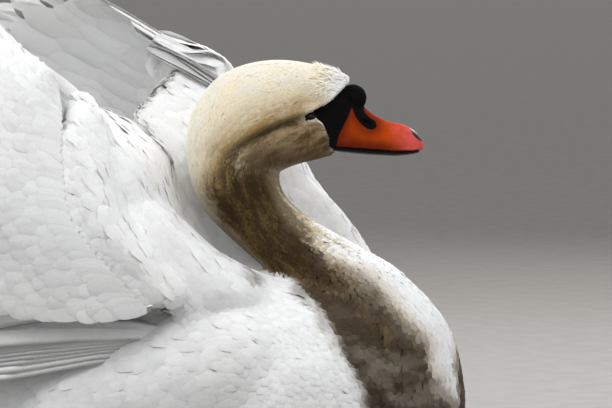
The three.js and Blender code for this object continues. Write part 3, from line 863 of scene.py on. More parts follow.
def crown_colour(q, height, back, streak):
    """Cream, golden above the fold behind the eye, with dark strands along it, painted shade in the fold
    itself and a white forehead.
    """
    crown = dyed(CREAM, IVORY, smoothstep(-0.1, 0.9, back + 0.8 * streak) * 0.85)
    above_fold = np.maximum(height - 3, 0)
    near_fold = bell(above_fold, 19) * (1 - smoothstep(12, 24, q[:, 0]))
    wash = bell(above_fold, 30) * smoothstep(0.1, 0.8, streak) * smoothstep(20, 0, q[:, 0])
    gold = 0.96 * near_fold * smoothstep(-0.75, 0.15, streak) + 0.5 * wash * (1 - near_fold)
    crown = dyed(crown, GOLD, gold)
    strands = bell(np.maximum(height - 2, 0), 9) * smoothstep(0.1, 0.6, -streak) * smoothstep(8, -4, q[:, 0])
    crown = dyed(crown, OLIVE, 0.75 * strands)
    # Painted shade: a dark line right at the fold, where the brow overhangs the cheek.
    fold_crease_shade = bell(height - 0.5, 3.0) * (1 - smoothstep(-8, 0, q[:, 0]))
    crown = dyed(crown, OLIVE, 0.7 * fold_crease_shade)
    return dyed(crown, WHITE, smoothstep(16, 30, q[:, 0] + 4 * streak) * 0.85)


def cheek_colour(q, height, share, streak):
    """Brown, darkest at the throat, with painted shadow under the fold, a pale patch, a white rim along the
    bare skin that is a painted highlight, and paler feathers by the eye.
    """
    cheek = dyed(CHEEK, OLIVE, smoothstep(-0.4, 0.5, streak) * 0.9)
    cheek = dyed(cheek, UMBER, smoothstep(-22, -44, q[:, 2] + 7 * streak) * 0.7)
    # Painted shadow under the fold, cast by the overhanging brow.
    shadow_under_fold = bell(height + 3, 4.5) * smoothstep(0.0, 0.2, share)
    cheek = dyed(cheek, UMBER, 0.75 * shadow_under_fold)
    pale = np.exp(-((q[:, 0] + 71) / 19) ** 2 - ((q[:, 2] + 40) / 19) ** 2) * smoothstep(0.05, 0.6, streak)
    cheek = dyed(cheek, BEIGE * 1.35, 0.6 * pale)
    gap = lores_gap(q)
    # rim is a painted highlight on the cheek's front edge along the bare skin; lid pales the feathers by the
    # eye.
    rim = (1 - smoothstep(0.4, 1.6, gap)) * smoothstep(6, 10, q[:, 0])
    rim = rim * (q[:, 2] < 3) * smoothstep(-37, -30, q[:, 2])
    lid = (1 - smoothstep(0.8, 2.4, gap)) * (1 - smoothstep(6, 9, q[:, 0])) * (q[:, 2] < 1)
    return dyed(cheek, SHADE_WHITE, np.clip(0.8 * rim + 0.3 * lid, 0, 1))


def neck_colour(side, white, t, ridge, streak):
    """Brown at the sides and beige at nape and throat, with white reaching up the front: partly the breast's
    white, partly a painted highlight on the neck's lit front.
    """
    edge = smoothstep(0.6, 0.97, np.abs(ridge + 0.1 * streak))
    neck = dyed(side, BEIGE, edge * ramp(t, (0.2, 0.25), (0.34, 0.3), (0.45, 0.75)))
    reach = ramp(t, *WHITE_FRONT)
    mottle = -ridge + 0.26 * streak
    neck = dyed(neck, BEIGE, smoothstep(reach - 0.34, reach - 0.1, mottle))
    return dyed(neck, white, smoothstep(reach - 0.14, reach + 0.08, mottle))


def breast_colour(p, side, white, t, jitter):
    """White, with the brown of the neck's foot over it and a beige border; where the brown reaches further on
    the far side, it is painted shade.
    """
    forward, left, up = p.T
    blotch = 0.7 * noise(p * [1, 1, 1.6], 26, 31) + 0.5 * noise(p * [1, 1, 1.8], 11, 32) + 0.05 * jitter
    behind = smoothstep(-4, 7, forward + 5 * blotch - ramp(up, *STAIN_BACK))
    # Painted shade: on the far side, below 225 mm, the brown reaches further round the breast's edge.
    far_side_shade = 26 * (left > 0) * (1 - smoothstep(195, 225, up))
    before = np.abs(left) + far_side_shade + mix(13, 7, smoothstep(190, 250, up)) * blotch - ramp(up, *STAIN_FRONT)
    low = behind * smoothstep(85, 125, up + 14 * blotch) * (1 - smoothstep(276, 290, up) * (t == 0))
    low *= 1 - smoothstep(102, 112, np.abs(left))
    breast = dyed(white, BEIGE, 0.7 * low * smoothstep(-20, -2, before))
    thin = mix(0.2, 0.05, smoothstep(195, 250, up)) * smoothstep(0.0, 0.6, blotch)
    shaded = side * mix(1.0, 0.6, smoothstep(240, 205, up))[:, None]
    return dyed(breast, shaded, low * smoothstep(-6, 4, before) * (0.97 - thin))


def plumage_colour(p, t, ridge, jitter):
    """Colour of the coat at points p; t and ridge place them on the neck and head, and jitter is -1 to 1."""
    q = to_head(p)
    height, share = groove_gap(q)
    by_groove = bell(height, 26) * smoothstep(0.0, 0.06, share)
    along_neck = np.stack([ridge * 34, 0.6 * p[:, 1], t * 150], 1)
    along_groove = np.stack([height, share * 20, 0.4 * p[:, 1]], 1)
    streak = mix(noise(along_neck, 6, 1), noise(along_groove, 3.4, 1), by_groove) * 0.8
    streak += mix(noise(along_neck, 2.6, 2), noise(along_groove, 1.4, 2), by_groove) * 0.75 + 0.25 * jitter
    white = dyed(WHITE, SHADE_WHITE, np.clip(0.5 + 0.5 * noise(p, 40, 3), 0, 1))
    side = dyed(UMBER, OLIVE, smoothstep(-0.3, 0.9, streak))
    back = smoothstep(0.35, 0.95, ridge + 0.15 * streak)

    crown = crown_colour(q, height, back, streak)
    cheek = cheek_colour(q, height, share, streak)
    breast = breast_colour(p, side, white, t, jitter)
    neck = dyed(breast, neck_colour(side, white, t, ridge, streak), smoothstep(0.17, 0.25, t))

    soft = mix(1.3, 15, smoothstep(-26, -56, q[:, 2]))
    above = smoothstep(-soft, soft, height + 8 * streak * smoothstep(2, 10, soft))
    low = smoothstep(-40, -92, q[:, 2] + 11 * streak)
    crown = dyed(crown, TAWNY, smoothstep(0.0, 0.5, low) * (1 - 0.8 * back))
    crown = dyed(crown, neck, smoothstep(0.35, 1.0, low) * (1 - 0.35 * back))
    cheek = dyed(cheek, neck, smoothstep(-40, -58, q[:, 2] + 5 * streak))
    colour = dyed(neck, dyed(cheek, crown, above), smoothstep(0.31, 0.36, t))
    colour = dyed(breast, colour, t > 0)
    return np.clip(colour * (1 + 0.05 * jitter)[:, None], 0, BRIGHTEST)


# ---------- the coat ----------


class Survey:
    """What the feathers need to know of the skin."""

    def __init__(self, skin):
        mesh = skin.data
        mesh.calc_loop_triangles()
        self.tri = values_of(mesh.loop_triangles, "vertices", 3, np.int32)
        loop = values_of(mesh.loop_triangles, "loops", 3, np.int32)
        self.uv = values_of(mesh.uv_layers["OFBake"].data, "uv", 2)[loop]
        self.points = points_of(skin)
        self.normal = normals_of(skin)
        a, b, c = self.points[self.tri].transpose(1, 0, 2)
        self.area = np.linalg.norm(np.cross(b - a, c - a), axis=1) / 2
        self.tree = BVHTree.FromPolygons([Vector(p) for p in self.points], self.tri.tolist())

        source, lie, kind, t, ridge = source_samples()
        finder = KDTree(len(source))
        for i, p in enumerate(source):
            finder.insert(Vector(p), i)
        finder.balance()
        nearest = np.array([finder.find(Vector(p))[1] for p in self.points])
        self.kind = kind[nearest]
        self.span = t[nearest]
        on_neck = self.kind == KIND["neck"]
        self.t = np.where(on_neck, self.span, 0)
        self.ridge = np.where(on_neck, ridge[nearest], 0)

        edges = edges_of(skin)
        on_head = on_neck * smoothstep(0.45, 0.6, self.span) * (1 - smoothstep(0.8, 0.95, self.span))
        lie = lie[nearest]
        lie[:, 2] -= 0.45 * on_head
        for _ in range(6):
            lie = square_to(relaxed(lie, edges, 6), self.normal)
        self.lie = lie
        self.size = relaxed(np.stack(self.feather_size(), 1), edges, 12)
        self.order = np.argsort(self.curve_order(self.points[self.tri].mean(1)))

    def feather_size(self):
        """Length, width and height of the coat at every vertex."""
        x, _, z = self.points.T
        t = self.t
        breast = smoothstep(60, 230, x)
        belly = 1 - smoothstep(10, 90, z)
        long = mix(mix(44, 25, breast), 30, belly)
        wide = mix(mix(19, 11, breast), 15, belly)
        deep = mix(mix(7.5, 6.5, breast), 5, belly)
        by_kind = {
            "flank": (mix(50, 28, breast), mix(21, 12, breast), 8.5),
            "mantle": (60, 24, 8.5),
            "scapular": (36, 18, 6),
            "arm": (20, 12, 4),
        }
        for kind, (l, w, d) in by_kind.items():
            here = self.kind == KIND[kind]
            long, wide, deep = np.where(here, l, long), np.where(here, w, wide), np.where(here, d, deep)
        fine = 1 - 0.35 * smoothstep(110, 190, x) * smoothstep(330, 290, z) * smoothstep(60, 110, z)
        long, wide = long * fine, wide * fine
        neck = self.kind == KIND["neck"]
        long = np.where(neck, ramp(t, (0, 24), (0.12, 19), (0.25, 15), (0.35, 13), (0.6, 12), (0.8, 9.5),
                                   (0.92, 7), (1, 5)), long)
        wide = np.where(neck, ramp(t, (0, 10), (0.12, 7), (0.25, 4), (0.35, 2.5), (0.5, 2.1), (0.65, 1.7),
                                   (0.8, 1.4), (0.92, 1.15), (1, 1)), wide)
        deep = np.where(neck, neck_depth(t), deep)
        return long, wide, deep

    @staticmethod
    def curve_order(p):
        """Numbers that are close for points that are close."""
        cell = ((p - p.min(0)) / 3.0).astype(np.int64)
        code = np.zeros(len(p), np.int64)
        for bit in range(9):
            for axis in range(3):
                code |= ((cell[:, axis] >> bit) & 1) << (3 * bit + axis)
        return code

    def scatter(self, chosen, spacing):
        """Even random roots on the triangles where chosen is true; spacing is a number for each vertex."""
        density = (1 / spacing ** 2)[self.tri].mean(1) * self.area * chosen
        total = np.cumsum(density[self.order])
        count = int(total[-1])
        at = (np.arange(count) + rng.random(count)) * total[-1] / count
        face = self.order[np.searchsorted(total, at)]
        share = rng.random((count, 2))
        share = np.where(share.sum(1, keepdims=True) > 1, 1 - share, share)
        return face, np.concatenate([1 - share.sum(1, keepdims=True), share], 1)

    def at(self, values, face, share):
        return (values[self.tri[face]] * share.reshape(share.shape + (1,) * (values.ndim - 1))).sum(1)

    def near(self, p):
        """Nearest skin points, with the normal, the lie, the face and the place on the neck there."""
        found = [self.tree.find_nearest(v) for v in map(Vector, p)]
        q = np.array([f[0] for f in found])
        face = np.array([f[2] for f in found])
        corner = self.tri[face]
        weight = 1 / (np.linalg.norm(self.points[corner] - q[:, None], axis=2) + 0.2)
        weight = (weight / weight.sum(1, keepdims=True))[..., None]
        normal, lie = (unit((values[corner] * weight).sum(1)) for values in (self.normal, self.lie))
        on_neck = np.stack([(values[corner] * weight[..., 0]).sum(1) for values in (self.t, self.ridge)], 1)
        return q, normal, lie, face, on_neck

    def bake_place(self, face):
        return self.uv[face].mean(1)


def turned(v, axis, angle):
    """v turned about a unit axis it is square to."""
    angle = np.asarray(angle, float)
    angle = angle.reshape(angle.shape + (1,) * (v.ndim - angle.ndim))
    return v * np.cos(angle) + np.cross(axis, v) * np.sin(angle)


def shares(rows):
    """Places of a feather's rows along it, closer together towards its tip."""
    return 1 - (1 - np.linspace(0, 1, rows)) ** 1.5


def cross_bend(survey, line, normal, way, half):
    """How much the skin curves across each feather, as one over the radius."""
    across = unit(np.cross(normal[:, 1], way[:, 1]))
    step = np.maximum(half, 2.0)[:, None] * across
    one = survey.near(line[:, 1] + step)[1]
    other = survey.near(line[:, 1] - step)[1]
    return ((one - other) * across).sum(1) / (2 * np.maximum(half, 2.0))


def traced(survey, root, length, rows, yaw, height):
    """Centre lines that start at root and follow the lie over the skin; height(share) lifts them off it."""
    s = shares(rows)
    p, normal, lie, _, place = survey.near(root)
    lines, normals, ways, places = [], [], [], []
    for row in range(rows):
        way = turned(lie, normal, yaw)
        lines.append(p + normal * height(s[row])[:, None])
        normals.append(normal)
        ways.append(way)
        places.append(place)
        if row < rows - 1:
            p, normal, lie, _, place = survey.near(p + way * (length * (s[row + 1] - s[row]))[:, None])
    return tuple(np.stack(values, 1) for values in (lines, normals, ways, places))


def sweep(name, rings, tips, colour, bake, vane, mirrored=False, facing=None):
    """Closed feathers from rings of points (feather, row, corner), each ended by a tip."""
    count, rows, corners = rings.shape[:3]
    each = rows * corners + 1
    points = np.concatenate([rings.reshape(count, -1, 3), tips[:, None]], 1)
    a, d, c, b = grid_faces(rows, corners).T
    under = (a % corners >= corners - 2) & (corners == 4)
    one = np.stack([a, b, np.where(under, d, c)], 1)
    other = np.stack([np.where(under, b, a), c, d], 1)
    j = np.arange(corners)
    last = (rows - 1) * corners
    ends = np.stack([last + (j + 1) % corners, last + j, np.full(corners, each - 1)], 1)
    offset = (np.arange(count) * each)[:, None, None]
    sets = [(offset + f[None]).reshape(-1, f.shape[1]) for f in (np.concatenate([one, other, ends]), j[None])]
    if mirrored:
        sets = [f[:, ::-1] for f in sets]
    flat = points.reshape(-1, 3)
    if mirrored:
        flat[:, 1] *= -1
    flat[:, 2] = np.maximum(flat[:, 2], 0.2)
    piece = new_mesh(name, flat, *sets)
    tinted(piece, colour.reshape(-1, 3))
    map_corners(piece, "OFBake", bake.reshape(-1, 2))
    map_corners(piece, "Vane", vane.reshape(-1, 2))
    if facing is not None:
        facing = facing.reshape(-1, 3)
        if mirrored:
            facing = facing * [1, -1, 1]
        soften_shading(piece, unit(facing))
    return piece


def soften_shading(piece, facing):
    """Shades faces by the given directions, one for each vertex, save those that look the other way."""
    mesh = piece.data
    corners = values_of(mesh.polygons, "loop_total", kind=np.int32)
    own = np.repeat(values_of(mesh.polygons, "normal", 3).astype(float), corners, axis=0)
    soft = facing[values_of(mesh.loops, "vertex_index", kind=np.int32)]
    share = smoothstep(0.05, 0.4, (own * soft).sum(1))
    mesh.normals_split_custom_set(unit(mix(own, soft, share[:, None])).tolist())


def map_corners(piece, name, place):
    layer = piece.data.uv_layers.new(name=name)
    index = values_of(piece.data.loops, "vertex_index", kind=np.int32)
    layer.data.foreach_set("uv", place[index].astype(np.float32).ravel())


BAKE_PATCH = 0.003
TUFT_EVENNESS = 0.35
SHAPES = {
    # columns across the top, rise of each in half widths, thickness under the middle
    "lock": (np.array([-1.0, 0, 1]), np.array([0.0, 0.45, 0]), 0),
    "plume": (np.array([-1.0, 0, 1]), np.array([0.0, 0.10, 0]), 0.3),
    "vane": (np.array([-1.0, -0.5, 0, 0.5, 1]), np.array([0.0, 0.07, 0.10, 0.07, 0]), 0.4),
    "quill": (np.array([-1.0, -0.55, -0.06, 0, 0.06, 0.55, 1]),
              np.array([0.0, 0.07, 0.10, 0.16, 0.10, 0.07, 0]), 0.7),
}
OUTLINES = {
    # half width, as a share of the widest, from root to tip
    "lock": [0.7, 1.0, 0.0],
    "plume": [0.5, 0.85, 1.0, 0.94, 0.62, 0.0],
    "vane": [0.45, 0.85, 1.0, 0.96, 0.66, 0.0],
    "quill": [0.35, 0.62, 0.82, 0.95, 1.0, 0.98, 0.92, 0.78, 0.5, 0.0],
}
ROUNDNESS = {"lock": 0.45, "plume": 0.16, "vane": 0.14, "quill": 0.14}


def feathers(name, shape, line, normal, way, half, colour, root_place, roll=None, fade=0.0, mirrored=False,
             softness=0.0, bend=None):
    """Feathers along centre lines, with the half width, tint and bake patch of each.

    Softness is how far their shading follows the ground, and bend how much they arch across.
    """
    columns, rise, keel = SHAPES[shape]
    widths = np.array(OUTLINES[shape])
    count, rows = line.shape[:2]
    ground = normal
    across = unit(np.cross(normal, way))
    if roll is not None:
        across = turned(across, way, roll)
        normal = turned(normal, way, roll)
    spread = half[:, None] * widths[None]
    body = line[:, :-1, None] + across[:, :-1, None] * (spread[:, :-1, None, None] * columns[:, None])
    lift = rise * spread[:, :-1, None]
    if bend is not None:
        bend = np.clip(bend, -0.01, 0.06).reshape(count, -1, 1)
        lift = lift - 0.5 * bend[:, :rows - 1] * (spread[:, :-1, None] * columns) ** 2
    rings = body + normal[:, :-1, None] * lift[..., None]
    corner_a = columns
    if keel:
        thick = keel * np.minimum(1, spread[:, :-1] / 4 + 0.3)
        middle = lift[:, :, len(columns) // 2] - thick
        under = line[:, :-1] + normal[:, :-1] * middle[..., None]
        rings = np.concatenate([rings, under[:, :, None]], 2)
        corner_a = np.append(columns, 0)
    share = shares(rows)
    length = np.linalg.norm(np.diff(line, axis=1), axis=2).sum(1)
    corners = len(corner_a)
    s = np.append(np.repeat(share[:-1], corners), 1.0)
    a = np.append(np.tile(corner_a, rows - 1), 0.0)
    bake = root_place[:, None] + BAKE_PATCH * np.stack([a / 2, s - 0.5], 1)
    vane = np.stack([half[:, None] * a, length[:, None] * s], 2)
    # fade darkens each feather towards its root: painted shade where it lies under the feathers in front of
    # it.
    root_shade = 1 - fade * (1 - s) ** 2
    if colour.ndim == 3:
        colour = np.concatenate([np.repeat(colour[:, :-1], corners, axis=1), colour[:, -1:]], 1)
    else:
        colour = colour[:, None]
    tint = colour * root_shade[None, :, None]
    facing = None
    if softness:
        tilt = across[:, :-1, None] * (ROUNDNESS[shape] * corner_a[:, None])
        facing = mix(normal, ground, softness)[:, :-1, None] + tilt
        facing = np.concatenate([facing.reshape(count, -1, 3), ground[:, -1:] + 0.3 * way[:, -1:]], 1)
    return sweep(name, rings, line[:, -1], tint, bake, vane, mirrored, facing)


def coat(survey, name, shape, chosen, spacing, lift=1.0, wild=0.1, fade=0.08, reach=1.0, ruffle=0.06, hug=1.8,
         press=0.3, softness=0.65):
    """A coat of feathers over the chosen faces.

    Hug flattens them towards their tips, press lowers the tips and ruffle makes their heights differ.
    """
    face, share = survey.scatter(chosen, spacing)
    root = survey.at(survey.points, face, share)
    long, wide, deep = survey.at(survey.size, face, share).T
    count = len(root)
    rows = len(OUTLINES[shape])
    length = reach * long * (1 + 0.22 * (rng.random(count) - 0.5))
    yaw = wild * noise(root, 14, 5) + wild * 0.7 * rng.normal(size=count)
    top = deep * lift * (1 - ruffle + 2 * ruffle * rng.random(count))
    line, normal, way, on_neck = traced(survey, root, length, rows, yaw, lambda s: (
        mix(-0.6, top, 1 - (1 - s) ** hug) - press * top * smoothstep(0.5, 1, s)))
    half = wide / 2 * (1 + 0.25 * (rng.random(count) - 0.5))
    roll = 0.06 * rng.normal(size=count)
    jitter = np.repeat(rng.uniform(-1, 1, count), rows)
    colour = plumage_colour(line.reshape(-1, 3), *on_neck.reshape(-1, 2).T, jitter).reshape(count, rows, 3)
    colour = mix(colour, colour[:, :1], TUFT_EVENNESS)
    place = survey.bake_place(face)
    bend = cross_bend(survey, line, normal, way, half) if shape == "plume" else None
    return feathers(name, shape, line, normal, way, half, colour, place, roll=roll, fade=fade,
                    softness=softness, bend=bend)


# ---------- rows of large feathers ----------

# [share of the way to the tip where the row ends, its length as such a share, half width, feathers in it]
WING_ROWS = [
    (0.62, 0.30, 21, 22), (0.50, 0.21, 17, 24), (0.42, 0.16, 14, 27), (0.355, 0.13, 12, 30),
    (0.30, 0.115, 10.5, 32), (0.25, 0.10, 9.5, 34), (0.205, 0.09, 9, 36), (0.165, 0.085, 8.5, 38),
    (0.125, 0.08, 8, 40), (0.085, 0.07, 7.5, 42),
]
UNDERWING_ROWS = [
    (0.93, 0.34, 20, 22), (0.78, 0.32, 20, 24), (0.62, 0.28, 18, 25), (0.48, 0.20, 15, 26),
    (0.34, 0.16, 12, 28), (0.22, 0.14, 11, 30), (0.12, 0.10, 10, 32),
]
SCAPULAR_ROWS = [(1.0, 0.34, 22, 9), (0.93, 0.30, 20, 10), (0.87, 0.28, 19, 11)]
ROW_STAGGER = 0.5
WEB_BILLOW = 1.8
SHORTEST_SHAPE = 2.6


def half_thickness(t):
    return along(WING_THICKNESS, t)[..., 0] / 2


def covert_height(t):
    """Half the wing's thickness, drawn in where the coverts end on the quills."""
    return half_thickness(t) * (1 - 0.8 * smoothstep(0.40, 0.62, t))


def web_line(web, q, t_root, t_tip, rows, face, surface, lift, drift):
    """Centre lines over a web on the right; face is 1 outside and -1 inside, lift is above surface(t)."""
    s = shares(rows)
    t = mix(t_root[:, None], t_tip[:, None], s)
    across = np.clip(q[:, None] + drift[:, None] * s, 0, 1)
    p, _, normal = web_frame(web, across, np.minimum(t, 1.0))
    if web is scapular_web:
        p[..., 0] -= SCAPULAR_TIP_ARC * t ** 3 * 4 * across * (1 - across)
    over = surface(t) + lift(s)
    line = p + face * normal * over[..., None]
    way = unit(np.gradient(line, axis=1))
    normal = face * normal
    step = 0.02
    one = web(np.minimum(across + step, 1), np.minimum(t, 1.0))
    other = web(np.maximum(across - step, 0), np.minimum(t, 1.0))
    middle = web(across, np.minimum(t, 1.0))
    bend = ((2 * middle - one - other) * normal).sum(-1) / np.maximum(((one - other) ** 2).sum(-1) / 4, 1)
    return line, square_to(normal, way), way, bend


def row_piece(survey, name, side, line, normal, way, half, shape="quill", roll=None, roll_spread=0.0,
              **looks):
    """Large feathers on one side of the body, given on the right and coloured by where their roots lie."""
    root = to_side(line[:, 0], side)
    no_neck = np.zeros(len(line))
    colour = plumage_colour(root, no_neck, no_neck, rng.uniform(-1, 1, len(line)))
    place = survey.bake_place(survey.near(root)[3])
    if roll is not None:
        roll = np.full(len(line), roll)
    if roll_spread:
        roll = roll + roll_spread * rng.normal(size=len(line))
    return feathers(name, shape, line, normal, way, half, colour, place, roll=roll, mirrored=side == LEFT,
                    **looks)


def web_row(survey, name, shape, web, side, rows, face, surface, roll=0.05, lifts=(-3.0, 0.1),
            lowest=lambda tip: 0.01):
    """Rows of feathers over a web, the last row first."""
    columns = {"q": [], "root": [], "tip": [], "half": []}
    for number, (tip, long, half, count) in enumerate(rows):
        q = (np.arange(count + 1) + ROW_STAGGER * (number % 2) + 0.5 * (rng.random(count + 1) - 0.5)) / count
        q = np.clip(q, lowest(tip), 0.99)
        jitter = 0.26 * long * (rng.random(count + 1) - 0.5)
        columns["q"].append(q)
        columns["root"].append(np.full(count + 1, tip - long))
        columns["tip"].append(np.minimum(tip + jitter, 1.0))
        columns["half"].append(half * (1 + 0.12 * (rng.random(count + 1) - 0.5)))
    q, root, tip, half = (np.concatenate(columns[k]) for k in ("q", "root", "tip", "half"))
    count = len(q)
    long = np.linalg.norm(web(q, tip) - web(q, np.maximum(root, 0)), axis=1)
    half = np.minimum(half, np.maximum(long / SHORTEST_SHAPE, 4))
    top = lifts[1] + 0.5 * rng.random(count)
    line, normal, way, bend = web_line(
        web, q, np.maximum(root, 0.0), tip, len(OUTLINES[shape]), face, lambda t: surface(t) + WEB_BILLOW,
        lambda s: mix(lifts[0], top[:, None], s[None] ** 0.7), 0.01 * rng.normal(size=count),
    )
    line += normal * (WEB_BILLOW * noise(line, 58, 41) + 0.5 * WEB_BILLOW * noise(line, 27, 42))[..., None]
    return row_piece(survey, name, side, line, normal, way, half, shape, roll, 0.04, fade=0.03, softness=0.9,
                     bend=bend)


# [share of the way to the tip where a feather starts, where it ends]
EDGE_SPANS = np.array([(0.52, 1.0), (0.36, 0.86), (0.2, 0.7), (0.06, 0.54), (0.0, 0.36)])
LOWER_EDGE_SPANS = 3
EDGE_PLACES = np.array([-0.75, 0.0, 0.75])


def wing_edge_row(survey, name, side, at_top):
    """Long feathers that close the lowest or the topmost edge of a wing, between its two faces."""
    chosen = EDGE_SPANS if at_top else EDGE_SPANS[:LOWER_EDGE_SPANS]
    spans = np.repeat(chosen, len(EDGE_PLACES), axis=0)
    a = np.tile(EDGE_PLACES, len(chosen))[:, None, None]
    count = len(spans)
    s = shares(len(OUTLINES["quill"]))
    t = np.clip(mix(spans[:, :1], spans[:, 1:], s) + 0.015 * rng.normal(size=(count, 1)), 0, 1)
    q = np.full(t.shape, 0.985 if at_top else 0.015)
    p, _, normal = web_frame(wing_web, q, t)
    inward = unit(wing_web(mix(q, 0.5, 0.1), t) - p)
    inward = square_to(inward, normal)
    outward = np.sqrt(1 - a ** 2)
    facing = unit(normal * a - inward * outward)
    thick = half_thickness(t)[..., None]
    line = p + normal * a * (thick + 1) - inward * outward * np.minimum(thick, 7) * 0.6
    line = line + facing * mix(-2.0, 0.8, s ** 0.6)[:, None]
    way = unit(np.gradient(line, axis=1))
    facing = square_to(facing, way)
    half = np.minimum(mix(13, 9, spans[:, 1]), np.linalg.norm(line[:, -1] - line[:, 0], axis=1) / 3)
    return row_piece(survey, name, side, line, facing, way, half, softness=0.7,
                     bend=np.clip(0.55 / thick[..., 0], 0.0, 0.06))


REMEX_COUNT = 22


def remiges(survey, name, side):
    """Long feathers of the arm, each lapping over the one below it."""
    q = (np.arange(REMEX_COUNT) + 0.5) / REMEX_COUNT
    tip = 1 + 0.012 * rng.normal(size=REMEX_COUNT) - 0.03 * (np.arange(REMEX_COUNT) % 2)
    half = mix(25, 17, smoothstep(0.7, 1, q)) * (1 + 0.06 * rng.normal(size=REMEX_COUNT))
    start = np.full(REMEX_COUNT, 0.25)
    line, normal, way, bend = web_line(
        wing_web, q, start, np.minimum(tip, 1.0), len(OUTLINES["quill"]), 1, lambda t: 0 * t,
        lambda s: 0.8 * np.sin(s * 3)[None] + 0 * q[:, None], 0.004 * rng.normal(size=REMEX_COUNT),
    )
    return row_piece(survey, name, side, line, normal, way, half, roll=0.055, roll_spread=0.02, bend=bend)


PRIMARY_COUNT = 10


def primaries(survey, name, side):
    """Long feathers of the folded hand, fanned a little towards their tips."""
    i = np.arange(PRIMARY_COUNT) / (PRIMARY_COUNT - 1)
    rows = len(OUTLINES["quill"])
    s = shares(rows)
    t = mix(0.04, mix(1.0, 0.60, i)[:, None], s)
    forward, left, up, half_width, half_thick = columns_at(PRIMARIES, t)
    lean = mix(*PRIMARY_LEAN, t)
    lap = 1 - (1 - i[:, None]) ** 1.9
    wide = mix(-0.72, 0.55 - 0.3 * s, lap) * half_width * mix(0.7, 1.15, s)
    thick = mix(-0.7, 0.7, i)[:, None] * half_thick
    out = np.stack([0 * lean, -np.cos(lean), np.sin(lean)], -1)
    high = np.stack([0 * lean, np.sin(lean), np.cos(lean)], -1)
    line = np.stack([forward, left, up], -1) + high * wide[..., None] + out * thick[..., None]
    way = unit(np.gradient(line, axis=1))
    half = 15 + 2 * rng.random(PRIMARY_COUNT)
    return row_piece(survey, name, side, line, square_to(out, way), way, half, roll=0.10)


# [share of the length where the row ends, its length, half width, feathers in the row, face]
TAIL_ROWS = [
    (1.0, 1.0, 12, 20, 0), (0.62, 0.6, 11, 14, 1), (0.45, 0.5, 10, 14, 1), (0.30, 0.4, 9, 14, 1),
    (0.86, 0.7, 12, 14, -1), (0.68, 0.6, 12, 14, -1), (0.5, 0.5, 12, 14, -1), (0.35, 0.45, 11, 12, -1),
]


def tail_feathers(survey, name):
    lines, normals, halves = [], [], []
    rows = len(OUTLINES["quill"])
    s = shares(rows)
    for tip, long, half, count, face in TAIL_ROWS:
        across = np.linspace(-1, 1, count) * (1 if face == 0 else 0.9)
        across = across[:, None] + 0.02 * rng.normal(size=(count, 1))
        t = mix(max(tip - long, 0.0), tip * (1 - 0.03 * rng.random((count, 1))), s)
        back, half_width, middle, half_thick = columns_at(TAIL, t)
        short = TAIL_POINT * across ** 2
        layer = (face if face else 0.5 * (1 - 2 * np.abs(across))) * half_thick * 0.8
        up = middle - TAIL_DROOP * across ** 2 * t + layer
        line = np.stack([back + short * t, across * half_width, up], -1)
        normal = np.stack([0.1 + 0 * t, 0.25 * across * t, 1 + 0 * t], -1) * (face if face else 1)
        lines.append(line)
        normals.append(normal)
        halves.append(np.full(count, half))
    line, normal, half = np.concatenate(lines), np.concatenate(normals), np.concatenate(halves)
    way = unit(np.gradient(line, axis=1))
    return row_piece(survey, name, RIGHT, line, square_to(normal, way), way, half)


# ---------- face, bill and eyes ----------

BILL_EDGE = np.array([[44, 12], [42.6, 8.8], [37, -3.6], [30, -17], [26, -31], [24, -45]])
NOSTRIL_PATCH = rounded(np.array([
    [42, 14.0], [44, 6], [47, -1], [53, -8.6], [61, -12.9], [67, -10.5], [65.5, -5], [57.5, 1.4], [52.5, 10],
    [50, 18],
]), 4)
NOSTRIL = {"forward": 58.5, "up": -6.3, "long": 5.6, "tall": 1.9, "tilt": math.radians(-30), "deep": 2.6}
FACE_VOXEL = 0.8
BILL_ORANGE = np.array([0.42, 0.050, 0.0008])
BILL_RED = np.array([0.46, 0.045, 0.003])
BILL_PINK = np.array([0.60, 0.085, 0.085])
# Colour of the painted shade on the bill.
BILL_PAINTED_SHADE = np.array([0.075, 0.006, 0.0004])


def mouth_height(forward):
    return np.interp(forward, MOUTH[:, 0], MOUTH[:, 1])


def face_rings():
    t, angle = ring_grid(150, 120)
    forward, half, ridge, square = columns_at(FACE, t)
    mouth = mouth_height(forward)
    rise = np.maximum(np.sin(angle), 0) ** (2 / square)
    side = np.where(np.sin(angle) > 0, power_of(np.cos(angle), 2 / square), np.cos(angle))
    return np.stack([forward + 0 * side, half * side, mouth + (ridge - mouth) * rise], -1)


def ball_rings(centre, size, lengthwise=40, around=48):
    polar = np.linspace(0.02, np.pi - 0.02, lengthwise)[:, None]
    angle = ring_angles(around)[None]
    x = np.cos(polar) + 0 * angle
    ball = np.stack([x, np.sin(polar) * np.cos(angle), np.sin(polar) * np.sin(angle)], -1)
    return np.array(centre) + np.array(size) * ball


def black_gap(p):
    """Distance in the side view from the black of the face, negative where it is black."""
    flat = p[:, [0, 2]]
    border = p[:, 0] - np.interp(p[:, 2], BILL_EDGE[::-1, 1], BILL_EDGE[::-1, 0])
    patch = signed_distance(flat, NOSTRIL_PATCH)
    knob = np.linalg.norm((p - KNOB_CENTRE) / KNOB_SIZE, axis=1)
    edge = p[:, 2] - mouth_height(p[:, 0]) - np.interp(p[:, 0], [36, 60, 85, 114], [2.4, 1.4, 0.5, 0.2])
    return np.minimum(np.minimum(np.minimum(border, patch), (knob - 1.16) * 12), edge)


